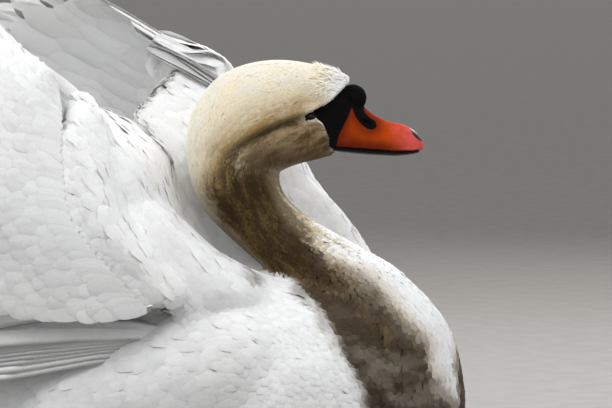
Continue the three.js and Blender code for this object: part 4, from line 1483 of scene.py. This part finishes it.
def bill_colour(p):
    forward = p[:, 0]
    mouth = mouth_height(forward)
    ridge = along(FACE, smooth_share(forward))[..., 2]
    height = (p[:, 2] - mouth) / np.maximum(ridge - mouth, 1)
    colour = dyed(BILL_ORANGE, BILL_RED, smoothstep(0.55, 1.0, height) * 0.8)
    colour = dyed(colour, BILL_PINK, smoothstep(74, 104, forward + 5 * noise(p, 9, 8)) * 0.9)
    # Painted shade: the lower half of the bill, back from the tip, is darkened.
    low = (1 - smoothstep(0.0, 0.5, height)) * 0.7 * (1 - smoothstep(84, 104, forward))
    colour = dyed(colour, BILL_PAINTED_SHADE, low)
    # Painted shade: the bill is darkened next to the black skin, towards its base.
    shade_beside_black = bell(np.maximum(black_gap(p), 0), 8) * (1 - smoothstep(70, 90, forward)) * 0.75
    colour = dyed(colour, BILL_PAINTED_SHADE, shade_beside_black)
    return colour * (1 + 0.10 * noise(p, 3.5, 9))[:, None]


def smooth_share(forward):
    """Share of the way along the face's table for a distance forward."""
    t = np.linspace(0, 1, 200)
    return np.interp(forward, along(FACE, t)[:, 0], t)


def block_ahead(name):
    size = 300.0
    corner = np.array(list(np.ndindex(2, 2, 2)), float) - [0, 0.5, 0.5]
    c, s = math.cos(BARE_BORDER["tilt"]), math.sin(BARE_BORDER["tilt"])
    p = corner * size
    x = p[:, 0] * c + p[:, 2] * s + BARE_BORDER["forward"]
    z = -p[:, 0] * s + p[:, 2] * c + BARE_BORDER["up"]
    faces = np.array([[0, 1, 3, 2], [4, 6, 7, 5], [0, 4, 5, 1], [2, 3, 7, 6], [0, 2, 6, 4], [1, 5, 7, 3]])
    return facing_out(new_mesh(name, np.stack([x, p[:, 1], z], 1), faces))


def face_carving(p, normal):
    """How far the bare face and the bill move outward."""
    beside = smoothstep(0.2, 0.6, np.abs(normal[:, 1]))
    tilt = NOSTRIL["tilt"]
    x = p[:, 0] - NOSTRIL["forward"]
    z = p[:, 2] - NOSTRIL["up"]
    u = (x * math.cos(tilt) + z * math.sin(tilt)) / NOSTRIL["long"]
    v = (-x * math.sin(tilt) + z * math.cos(tilt)) / NOSTRIL["tall"]
    around = np.sqrt(u * u + v * v)
    move = -NOSTRIL["deep"] * (1 - smoothstep(0.5, 1.15, around)) * beside
    move += 0.45 * bell(around - 1.5, 0.35) * beside
    eye = np.linalg.norm(p[:, [0, 2]] - [EYE["forward"], EYE["up"]], axis=1)
    move -= 3.0 * (1 - smoothstep(4.2, 7.5, eye)) * beside
    bare = 1 - smoothstep(-0.5, 1.5, black_gap(p))
    move += bare * (0.22 * noise(p, 2.2, 11) + 0.35 * noise(p, 6, 12))
    lip = bell(p[:, 2] - mouth_height(p[:, 0]) - 1.6, 1.3) * smoothstep(36, 50, p[:, 0])
    move += 0.5 * lip * beside
    seam = bell(black_gap(p), 0.7) * smoothstep(20, 30, p[:, 0])
    hidden = smoothstep(0.8, 5.0, lores_gap(p))
    return move - 0.25 * seam - 6.5 * hidden


def make_face():
    """Bare face with the knob, upper bill and nail, in place."""
    parts = [tube_piece("face", face_rings()), tube_piece("knob", ball_rings(KNOB_CENTRE, KNOB_SIZE))]
    whole = remeshed(joined("face", parts), FACE_VOXEL)
    set_points(whole, relaxed(points_of(whole), edges_of(whole), 4))
    p = points_of(whole)
    p = p + normals_of(whole) * face_carving(p, normals_of(whole))[:, None]
    p[:, 1] *= 1 - 0.3 * smoothstep(0.5, 5.0, lores_gap(p)) * smoothstep(-8, -20, p[:, 2])
    set_points(whole, p)
    bill = copied(whole)
    block = block_ahead("block")
    bare = boolean(whole, block, "DIFFERENCE", keep_tool=True)
    bill = boolean(bill, block, "INTERSECT")
    nail_centre = [NAIL["forward"], 0, mouth_height(NAIL["forward"]) + NAIL["depth"] + 6]
    tool = tube_piece("nail_tool", ball_rings(nail_centre, [NAIL["length"], NAIL["width"], NAIL["depth"]]))
    nail = boolean(copied(bill), tool, "INTERSECT", keep_tool=True)
    bill = boolean(bill, tool, "DIFFERENCE")
    for piece, name in ((bare, "bare_face"), (bill, "upper_bill"), (nail, "bill_tip_nail")):
        piece.name = name
        p = points_of(piece)
        if piece is not nail:
            scalar_attribute(piece, "black_gap", black_gap(p))
            tinted(piece, bill_colour(p))
        else:
            set_points(piece, p + normals_of(piece) * 0.12)
        place_on_head(piece)
        smooth_shading(piece)
    return bare, bill, nail


def place_on_head(piece):
    set_points(piece, from_head(points_of(piece)))


def smooth_shading(piece):
    piece.data.polygons.foreach_set("use_smooth", np.ones(len(piece.data.polygons), bool))
    with bpy.context.temp_override(object=piece, active_object=piece, selected_editable_objects=[piece]):
        bpy.ops.object.shade_smooth_by_angle(angle=math.radians(50))


def make_lower_bill():
    t, angle = ring_grid(90, 48)
    forward, half, depth = columns_at(LOWER_BILL, t)
    drop = depth * np.maximum(-np.sin(angle), 0) ** 0.8
    rings = np.stack([forward + 0 * angle, half * np.cos(angle), mouth_height(forward) - 0.4 - drop], -1)
    piece = tube_piece("lower_bill", rings)
    place_on_head(piece)
    smooth_shading(piece)
    return piece


def eye_centre(side):
    return np.array([EYE["forward"], side * EYE["side"], EYE["up"]])


def make_eye(side):
    name = "eyeball_right" if side == RIGHT else "eyeball_left"
    piece = tube_piece(name, ball_rings([0, 0, 0], [EYE_RADIUS] * 3, 48, 64))
    p = points_of(piece)
    gaze = unit(np.array([0.12, side, 0.02]))
    off = np.linalg.norm(np.cross(unit(p), gaze), axis=1) * EYE_RADIUS
    off = np.where(p @ gaze > 0, off, EYE_RADIUS)
    cornea = 0.55 * (1 - smoothstep(1.5, 4.4, off))
    set_points(piece, eye_centre(side) + p + unit(p) * cornea[:, None])
    scalar_attribute(piece, "from_pupil", off)
    place_on_head(piece)
    return piece


LID = {"long": 5.3, "above": 3.4, "below": 2.9, "width": 1.35, "thick": 0.75, "tilt": math.radians(12)}


def make_lids(side):
    """The bare rim of the eyelids, lying on the eyeball."""
    name = "eyelids_right" if side == RIGHT else "eyelids_left"
    angle = np.linspace(0, 2 * np.pi, 96, endpoint=False)
    high = np.where(np.sin(angle) > 0, LID["above"], LID["below"])
    x = LID["long"] * np.cos(angle) * (1 + 0.12 * np.cos(angle) ** 2)
    z = high * np.sin(angle)
    c, s = math.cos(LID["tilt"]), math.sin(LID["tilt"])
    x, z = x * c - z * s, x * s + z * c
    radius = EYE_RADIUS + 0.35
    y = np.sqrt(np.maximum(radius ** 2 - x ** 2 - z ** 2, 3.0))
    rim = np.stack([x, y, z], 1)
    out = unit(rim)
    run = unit(np.roll(rim, -1, 0) - np.roll(rim, 1, 0))
    away = unit(np.cross(run, out))
    away *= np.sign((away * (rim - [0, radius, 0])).sum(1, keepdims=True))
    around = ring_angles(14)
    wide = LID["width"] * np.cos(around)[None, :, None]
    thick = LID["thick"] * np.sin(around)[None, :, None]
    rings = rim[:, None] + away[:, None] * (wide + 0.9) + out[:, None] * (thick - 0.12 * wide)
    rings = rings * np.array([1, side, 1]) + eye_centre(side)
    piece = facing_out(new_mesh(name, rings.reshape(-1, 3), grid_faces(*rings.shape[:2], looped=True)))
    place_on_head(piece)
    return piece


# ---------- feet ----------

KNUCKLES = 9
FOOT_VOXEL = 1.3
# [half width, half height]
SHANK_RADII = np.array([[9, 9], [10.5, 10], [7.5, 7.5], [7, 7], [7.5, 7], [7.5, 6.5]])
CLAW_RADII = np.array([[2.6, 2.4], [2.7, 2.5], [2.4, 2.2], [1.8, 1.7], [1.2, 1.1], [0.4, 0.4]])
CLAW_HEIGHTS = [4.6, 4.9, 4.7, 3.8, 2.6, 1.4]


def limb_rings(points, radii, around=20, lengthwise=40):
    """A tube of varying radius along a curve; each radius is [half width, half height]."""
    t = np.linspace(0, 1, lengthwise)
    centre = along(points, t)
    radius = along(radii, t)
    run = unit(np.gradient(centre, axis=0))
    side = unit(np.cross([0, 0, 1.0], run))
    up = np.cross(run, side)
    angle = ring_angles(around)
    wide = side[:, None] * (radius[:, :1] * np.cos(angle))[..., None]
    high = up[:, None] * (radius[:, 1:] * np.sin(angle))[..., None]
    rings = centre[:, None] + (wide + high)
    rings[..., 2] = np.maximum(rings[..., 2], 0.3)
    return rings


def toe_line(tip):
    s = np.linspace(0, 1, KNUCKLES)[:, None]
    line = mix(TOE_JOINT, tip, s)
    line[:, 2] = mix(7.5, 4.0, s[:, 0]) + 0.9 * np.sin(s[:, 0] * np.pi * 3) ** 2
    return line


def toe_radii():
    s = np.linspace(0, 1, KNUCKLES)
    swell = 1 + 0.12 * np.sin(s * np.pi * 3) ** 2
    return np.stack([mix(6.2, 3.6, s) * swell, mix(6.0, 3.4, s) * swell], 1)


def web_between(tip_a, tip_b):
    """The skin between two toes, with a hollow free edge."""
    s, a = np.meshgrid(np.linspace(0, 1, 24), np.linspace(0, 1, 18), indexing="ij")
    reach = s * (0.97 - 0.20 * np.sin(a * np.pi))
    line_a, line_b = toe_line(tip_a), toe_line(tip_b)
    p = mix(along(line_a, reach), along(line_b, reach), a[..., None])
    sag = np.sin(a * np.pi) * reach
    p[..., 2] = mix(p[..., 2], 1.7, sag ** 0.5) + 0.35 * np.sin(a * np.pi * 7) * sag
    thick = np.array([0, 0, 1.0])
    return p + thick, np.maximum(p - 0.9 * thick, [-999, -999, 0.2])


def make_foot(side):
    name = "right" if side == RIGHT else "left"
    s = np.linspace(0, 1, 6)[:, None]
    shank = mix(HEEL, TOE_JOINT, s)
    parts = [tube_piece("foot", limb_rings(shank, SHANK_RADII))]
    parts += [tube_piece("toe", limb_rings(toe_line(tip), toe_radii())) for tip in TOE_TIPS]
    hind_toe = mix(TOE_JOINT - [12, 0, 0], HIND_TOE, s)
    parts.append(tube_piece("toe", limb_rings(hind_toe, np.full((6, 2), 3.6))))
    parts += [plate_piece("web", *web_between(a, b)) for a, b in zip(TOE_TIPS[:-1], TOE_TIPS[1:])]
    foot = remeshed(joined("foot_skin_" + name, parts), FOOT_VOXEL)
    p = relaxed(points_of(foot), edges_of(foot), 3)
    p[:, 2] = np.maximum(p[:, 2], 0.2)
    claws = []
    for tip in TOE_TIPS:
        run = unit(tip - TOE_JOINT)
        line = tip + run * np.linspace(-4, CLAW_LENGTH - 1, 6)[:, None]
        line[:, 2] = CLAW_HEIGHTS
        claws.append(tube_piece("claw", limb_rings(line, CLAW_RADII, 14, 20)))
    claw = joined("claws_" + name, claws)
    if side == RIGHT:
        for piece, q in ((foot, p), (claw, points_of(claw))):
            set_points(piece, q * [1, -1, 1])
            piece.data.flip_normals()
    else:
        set_points(foot, p)
    return foot, claw


# ---------- materials ----------


class Nodes:
    """Short names for building a material's nodes."""

    def __init__(self, name):
        self.material = bpy.data.materials.new(name)
        self.material.use_nodes = True
        self.tree = self.material.node_tree
        self.shader = self.tree.nodes["Principled BSDF"]

    def add(self, kind, **settings):
        node = self.tree.nodes.new(kind)
        for key, value in settings.items():
            if key in node.inputs:
                node.inputs[key].default_value = value
            else:
                setattr(node, key, value)
        return node

    def link(self, output, target):
        self.tree.links.new(output, target)

    def set(self, **values):
        for key, value in values.items():
            self.shader.inputs[key.replace("_", " ")].default_value = value

    def drive(self, **outputs):
        for key, output in outputs.items():
            self.link(output, self.shader.inputs[key.replace("_", " ")])

    def place(self):
        return self.add("ShaderNodeTexCoord").outputs["Object"]

    def attribute(self, name, output="Color"):
        return self.add("ShaderNodeAttribute", attribute_name=name).outputs[output]

    def math(self, operation, a, b=None):
        node = self.add("ShaderNodeMath", operation=operation)
        for socket, value in zip(node.inputs, (a, b)):
            if value is None:
                continue
            if isinstance(value, (int, float)):
                socket.default_value = value
            else:
                self.link(value, socket)
        return node.outputs[0]

    def noise(self, scale, detail=3.0, roughness=0.5):
        node = self.add("ShaderNodeTexNoise", Scale=scale, Detail=detail, Roughness=roughness)
        self.link(self.place(), node.inputs["Vector"])
        return node.outputs["Fac"]

    def ramp(self, value, low, high, out_low=0.0, out_high=1.0):
        node = self.add("ShaderNodeMapRange")
        node.interpolation_type = "SMOOTHSTEP"
        self.link(value, node.inputs["Value"])
        for key, number in (("From Min", low), ("From Max", high), ("To Min", out_low), ("To Max", out_high)):
            node.inputs[key].default_value = number
        return node.outputs["Result"]

    def mix(self, share, a, b):
        node = self.add("ShaderNodeMix", data_type="RGBA")
        for socket, value in zip((node.inputs[0], node.inputs[6], node.inputs[7]), (share, a, b)):
            if isinstance(value, (int, float)):
                socket.default_value = value
            elif isinstance(value, tuple):
                socket.default_value = (*value, 1.0)
            else:
                self.link(value, socket)
        return node.outputs[2]

    def bump(self, height, strength, distance):
        node = self.add("ShaderNodeBump", Strength=strength, Distance=distance)
        self.link(height, node.inputs["Height"])
        self.drive(Normal=node.outputs["Normal"])


BLACK = (0.0, 0.0, 0.0)
DULL = 0.12


def plumage_material(name, barb_step, barb_strength, roughness=0.72):
    n = Nodes(name)
    tint = n.attribute("tint")
    mottled = n.ramp(n.noise(900.0, 2.0), 0.3, 0.7, 0.93, 1.0)
    n.drive(Base_Color=n.mix(mottled, BLACK, tint))
    place = n.add("ShaderNodeUVMap", uv_map="Vane").outputs["UV"]
    split = n.add("ShaderNodeSeparateXYZ")
    n.link(place, split.inputs[0])
    off = n.math("ABSOLUTE", split.outputs["X"])
    phase = n.math("MULTIPLY", n.math("SUBTRACT", split.outputs["Y"], n.math("MULTIPLY", off, 0.9)),
                   2 * math.pi / barb_step)
    barbs = n.math("SINE", phase)
    n.bump(barbs, barb_strength, 0.0002)
    n.set(Roughness=roughness)
    n.set(Subsurface_Weight=0.18, Subsurface_Scale=0.004, Subsurface_Radius=(1.0, 0.85, 0.7))
    n.set(Sheen_Weight=0.03, Sheen_Roughness=0.5, Specular_IOR_Level=DULL)
    return n.material


def skin_material():
    n = Nodes("skin_and_down")
    down = n.ramp(n.noise(260.0, 4.0), 0.3, 0.7, 0.86, 1.0)
    n.drive(Base_Color=n.mix(down, BLACK, n.attribute("tint")))
    n.bump(n.noise(700.0, 4.0), 0.6, 0.0006)
    n.set(Roughness=0.9, Specular_IOR_Level=0.15)
    return n.material


def bill_material():
    n = Nodes("bill_horn_and_bare_skin")
    ragged = n.math("MULTIPLY", n.math("SUBTRACT", n.noise(420.0), 0.5), 1.3)
    edge = n.math("ADD", n.attribute("black_gap", "Fac"), ragged)
    horn = n.ramp(edge, -0.25, 0.35)
    grain = n.ramp(n.noise(520.0, 4.0), 0.3, 0.7, 0.86, 1.0)
    orange = n.mix(grain, (0.25, 0.02, 0.0), n.attribute("tint"))
    black = n.mix(n.noise(300.0), (0.001, 0.001, 0.001), (0.003, 0.0028, 0.003))
    n.drive(Base_Color=n.mix(horn, black, orange))
    rough = n.math("ADD", n.math("MULTIPLY", horn, -0.18), n.math("MULTIPLY_ADD", n.noise(380.0), 0.2))
    n.drive(Roughness=n.math("ADD", rough, 0.52))
    fine = n.math("MULTIPLY", n.noise(1500.0, 3.0), n.ramp(edge, -0.3, 0.5, 1.0, 0.25))
    n.bump(fine, 0.5, 0.0004)
    n.set(Specular_IOR_Level=DULL)
    return n.material


def dark_material(name, colour, roughness, scale, strength):
    n = Nodes(name)
    shade = n.noise(scale, 4.0)
    dim = tuple(0.55 * c for c in colour)
    n.drive(Base_Color=n.mix(shade, dim, colour))
    n.drive(Roughness=n.ramp(shade, 0.2, 0.8, roughness - 0.08, roughness + 0.08))
    n.bump(n.noise(scale * 2.5, 4.0), strength, 0.0004)
    n.set(Specular_IOR_Level=DULL)
    return n.material


def eye_material():
    n = Nodes("eye")
    off = n.attribute("from_pupil", "Fac")
    spokes = n.noise(900.0, 2.0)
    iris = n.mix(spokes, (0.005, 0.0025, 0.0015), (0.014, 0.006, 0.003))
    ringed = n.mix(n.ramp(off, 3.7, 4.3), iris, (0.004, 0.003, 0.0025))
    n.drive(Base_Color=n.mix(n.ramp(off, 2.1, 2.35), (0.002, 0.002, 0.002), ringed))
    n.set(Roughness=0.16, Specular_IOR_Level=0.22)
    return n.material


def foot_material():
    n = Nodes("foot_skin")
    cells = n.add("ShaderNodeTexVoronoi", Scale=420.0)
    n.link(n.place(), cells.inputs["Vector"])
    edge = n.ramp(cells.outputs["Distance"], 0.05, 0.7)
    n.drive(Base_Color=n.mix(edge, (0.055, 0.053, 0.052), (0.022, 0.021, 0.021)))
    n.drive(Roughness=n.ramp(n.noise(150.0), 0.2, 0.8, 0.45, 0.65))
    n.bump(n.math("SUBTRACT", 1.0, edge), 0.6, 0.0006)
    return n.material


def floor_material():
    n = Nodes("floor")
    length = n.add("ShaderNodeVectorMath", operation="LENGTH")
    n.link(n.place(), length.inputs[0])
    far = n.ramp(length.outputs["Value"], 0.8, 2.4)
    n.drive(Base_Color=n.mix(far, (0.25, 0.242, 0.23), (0.15, 0.141, 0.128)))
    n.drive(Roughness=n.ramp(n.noise(30.0), 0.3, 0.7, 0.7, 0.8))
    return n.material


# ---------- camera, light and floor ----------

FLOOR_HALF = 60000.0
WARM = (1.0, 0.995, 0.98)
NEUTRAL = (1.0, 1.0, 1.0)
# name, place, target, size, power, colour, with lengths in metres
LIGHTS = [
    ("key", (1.2, -0.8, 2.5), (0, 0, 0.3), 2.4, 20, WARM),
    ("side", (-0.8, -1.6, 2.2), (0, 0, 0.33), 2.0, 27, WARM),
    ("front", (3.0, 0.0, 1.2), (0, 0, 0.33), 2.0, 9, NEUTRAL),
    ("rim", (-0.6, 2.4, 1.6), (0, 0, 0.33), 1.4, 42, NEUTRAL),
]
SKY = {"Color": (0.98, 0.99, 1.0, 1), "Strength": 0.82}
CAMERA = {"target": (0.117, 0, 0.345), "yaw": 32, "down": 5, "distance": 3.4, "lens": 202.94}


def make_camera():
    data = bpy.data.cameras.new("camera")
    data.lens = CAMERA["lens"]
    data.sensor_width = 36
    camera = placed("camera", data)
    yaw, down = math.radians(CAMERA["yaw"]), math.radians(CAMERA["down"])
    view = Vector((-math.sin(yaw) * math.cos(down), math.cos(yaw) * math.cos(down), -math.sin(down)))
    camera.location = Vector(CAMERA["target"]) - CAMERA["distance"] * view
    camera.rotation_euler = view.to_track_quat("-Z", "Y").to_euler()
    bpy.context.scene.camera = camera


def area_light(name, place, target, size, power, colour):
    data = bpy.data.lights.new(name, "AREA")
    data.shape = "DISK"
    data.size = size
    data.energy = power
    data.color = colour
    lamp = placed(name, data)
    lamp.location = place
    lamp.rotation_euler = (Vector(target) - Vector(place)).to_track_quat("-Z", "Y").to_euler()


def make_studio():
    corners = np.array([[-1, -1, 0], [1, -1, 0], [1, 1, 0], [-1, 1, 0]])
    floor = new_mesh("floor", corners * FLOOR_HALF, np.array([[0, 1, 2, 3]]))
    dressed(floor, floor_material())
    for light in LIGHTS:
        area_light(*light)
    world = bpy.data.worlds.new("studio")
    bpy.context.scene.world = world
    world.use_nodes = True
    for name, value in SKY.items():
        world.node_tree.nodes["Background"].inputs[name].default_value = value
    bpy.context.scene.view_settings.view_transform = "Standard"


# ---------- putting it together ----------

make_camera()
make_studio()

skin = make_skin()
with bpy.context.temp_override(active_object=skin, object=skin, selected_editable_objects=[skin]):
    bpy.context.view_layer.objects.active = skin
    skin.select_set(True)
    skin.data.uv_layers.new(name="OFBake")
    bpy.ops.object.mode_set(mode="EDIT")
    bpy.ops.mesh.select_all(action="SELECT")
    bpy.ops.uv.smart_project(angle_limit=math.radians(66), island_margin=0.002)
    bpy.ops.object.mode_set(mode="OBJECT")
survey = Survey(skin)
tinted(skin, plumage_colour(survey.points, survey.t, survey.ridge, np.zeros(len(survey.points))))
settled(skin, skin_material(), "white_plumage",
        "trunk", "mantle", "neck_lower", "neck_middle", "neck_upper", "head")

fine = plumage_material("head_and_neck_feathers", 0.6, 0.0)
soft = plumage_material("body_feathers", 0.9, 0.25)
stiff = plumage_material("wing_feathers", 1.1, 0.35, 0.62)

corner_kind = survey.kind[survey.tri]
is_neck = (corner_kind == KIND["neck"]).all(1)
face_t = survey.t[survey.tri].mean(1)
face_centre = survey.points[survey.tri].mean(1)
face_local = to_head(face_centre)
on_bare_skin = (lores_gap(face_local) < 0.3) & (face_t > 0.8)
is_arm = (corner_kind == KIND["arm"]).any(1)
span = survey.span[survey.tri].mean(1)
wide = survey.size[:, 1]

# name, shares of the neck and head where the coat begins and ends, shape, spacing in widths, wildness, fade
# (painted shade towards each feather's root)
NECK_COATS = [
    ("head_feathers", 0.65, 1.0, "lock", 0.76, 0.12, 0.1),
    ("upper_neck_feathers", 0.34, 0.65, "lock", 0.72, 0.13, 0.1),
    ("middle_neck_feathers", 0.18, 0.34, "lock", 0.6, 0.14, 0.1),
    ("lower_neck_feathers", -1.0, 0.18, "plume", 0.52, 0.14, 0.08),
]
for name, low, high, shape, spacing, wild, fade in NECK_COATS:
    here = is_neck & (face_t > low) & (face_t <= high) & ~on_bare_skin
    piece = coat(survey, name, shape, here, spacing * wide, wild=wild, fade=fade)
    if shape == "lock":
        settled(piece, fine, "cream_plumage")
    else:
        settled(piece, soft, "white_plumage")
on_forehead = is_neck & (lores_gap(face_local) > 4) & (face_local[:, 0] > 12) & (face_local[:, 2] > 22)
piece = coat(survey, "forehead_feathers", "lock", on_forehead, 1.7 * wide, lift=2.3, wild=0.5, fade=0.05,
             reach=1.4, ruffle=0.4, hug=1.2, press=0.0)
settled(piece, fine, "cream_plumage")

body = ~is_neck & ~is_arm
in_front = face_centre[:, 0] > -20
for side, word in ((RIGHT, "right"), (LEFT, "left")):
    own_side = face_centre[:, 1] * side > 0
    for place, here, spacing, ruffle, softness in (
        ("front", in_front, 0.43, 0.08, 0.6),
        ("rear", ~in_front, 0.5, 0.3, 0.2),
    ):
        piece = coat(survey, f"{place}_body_feathers_{word}", "plume", body & own_side & here, spacing * wide,
                     wild=0.10, ruffle=ruffle, softness=softness)
        settled(piece, soft, "white_plumage")
    piece = coat(survey, "wing_edge_feathers_" + word, "plume", is_arm & own_side & (span < 0.3), 0.5 * wide,
                 wild=0.1)
    settled(piece, soft, "white_plumage")

    piece = web_row(survey, "scapular_feathers_" + word, "quill", scapular_web, side, SCAPULAR_ROWS, 1,
                    lobe_swell, lifts=(-6.0, -0.8), lowest=lambda tip: 0.6)
    settled(piece, stiff, "white_plumage", "scapulars_" + word)
    piece = web_row(survey, "wing_coverts_" + word, "vane", wing_web, side, WING_ROWS, 1, covert_height,
                    lowest=lambda tip: 0.01 + 0.1 * smoothstep(0.12, 0.5, tip))
    settled(piece, stiff, "white_plumage")
    piece = web_row(survey, "wing_lining_" + word, "vane", wing_web, side, UNDERWING_ROWS, -1, half_thickness,
                    roll=-0.05)
    settled(piece, stiff, "white_plumage")
    for at_top, edge in ((True, "top"), (False, "lower")):
        piece = wing_edge_row(survey, f"wing_{edge}_edge_feathers_{word}", side, at_top)
        settled(piece, stiff, "white_plumage")
    settled(remiges(survey, "arm_quills_" + word, side), stiff, "white_plumage", "wing_" + word)
    settled(primaries(survey, "hand_quills_" + word, side), stiff, "white_plumage", "primaries_" + word)
settled(tail_feathers(survey, "tail_feathers"), stiff, "white_plumage", "tail")

bare, bill, nail = make_face()
horn = bill_material()
black_horn = dark_material("black_horn", (0.006, 0.0055, 0.006), 0.42, 420.0, 0.3)
black_skin = dark_material("eyelid_skin", (0.005, 0.0045, 0.0045), 0.6, 900.0, 0.5)
settled(bare, horn, "bare_black_skin", "lores_and_knob")
settled(bill, horn, "orange_horn", "bill_upper")
settled(nail, black_horn, "black_horn", "bill_nail")
settled(make_lower_bill(), black_horn, "black_horn", "bill_lower")
for side, word in ((RIGHT, "right"), (LEFT, "left")):
    settled(make_eye(side), eye_material(), "eye", "eye_" + word)
    settled(make_lids(side), black_skin, "bare_black_skin")
    foot, claws = make_foot(side)
    settled(foot, foot_material(), "foot_skin", "foot_" + word)
    settled(claws, black_horn, "black_horn")
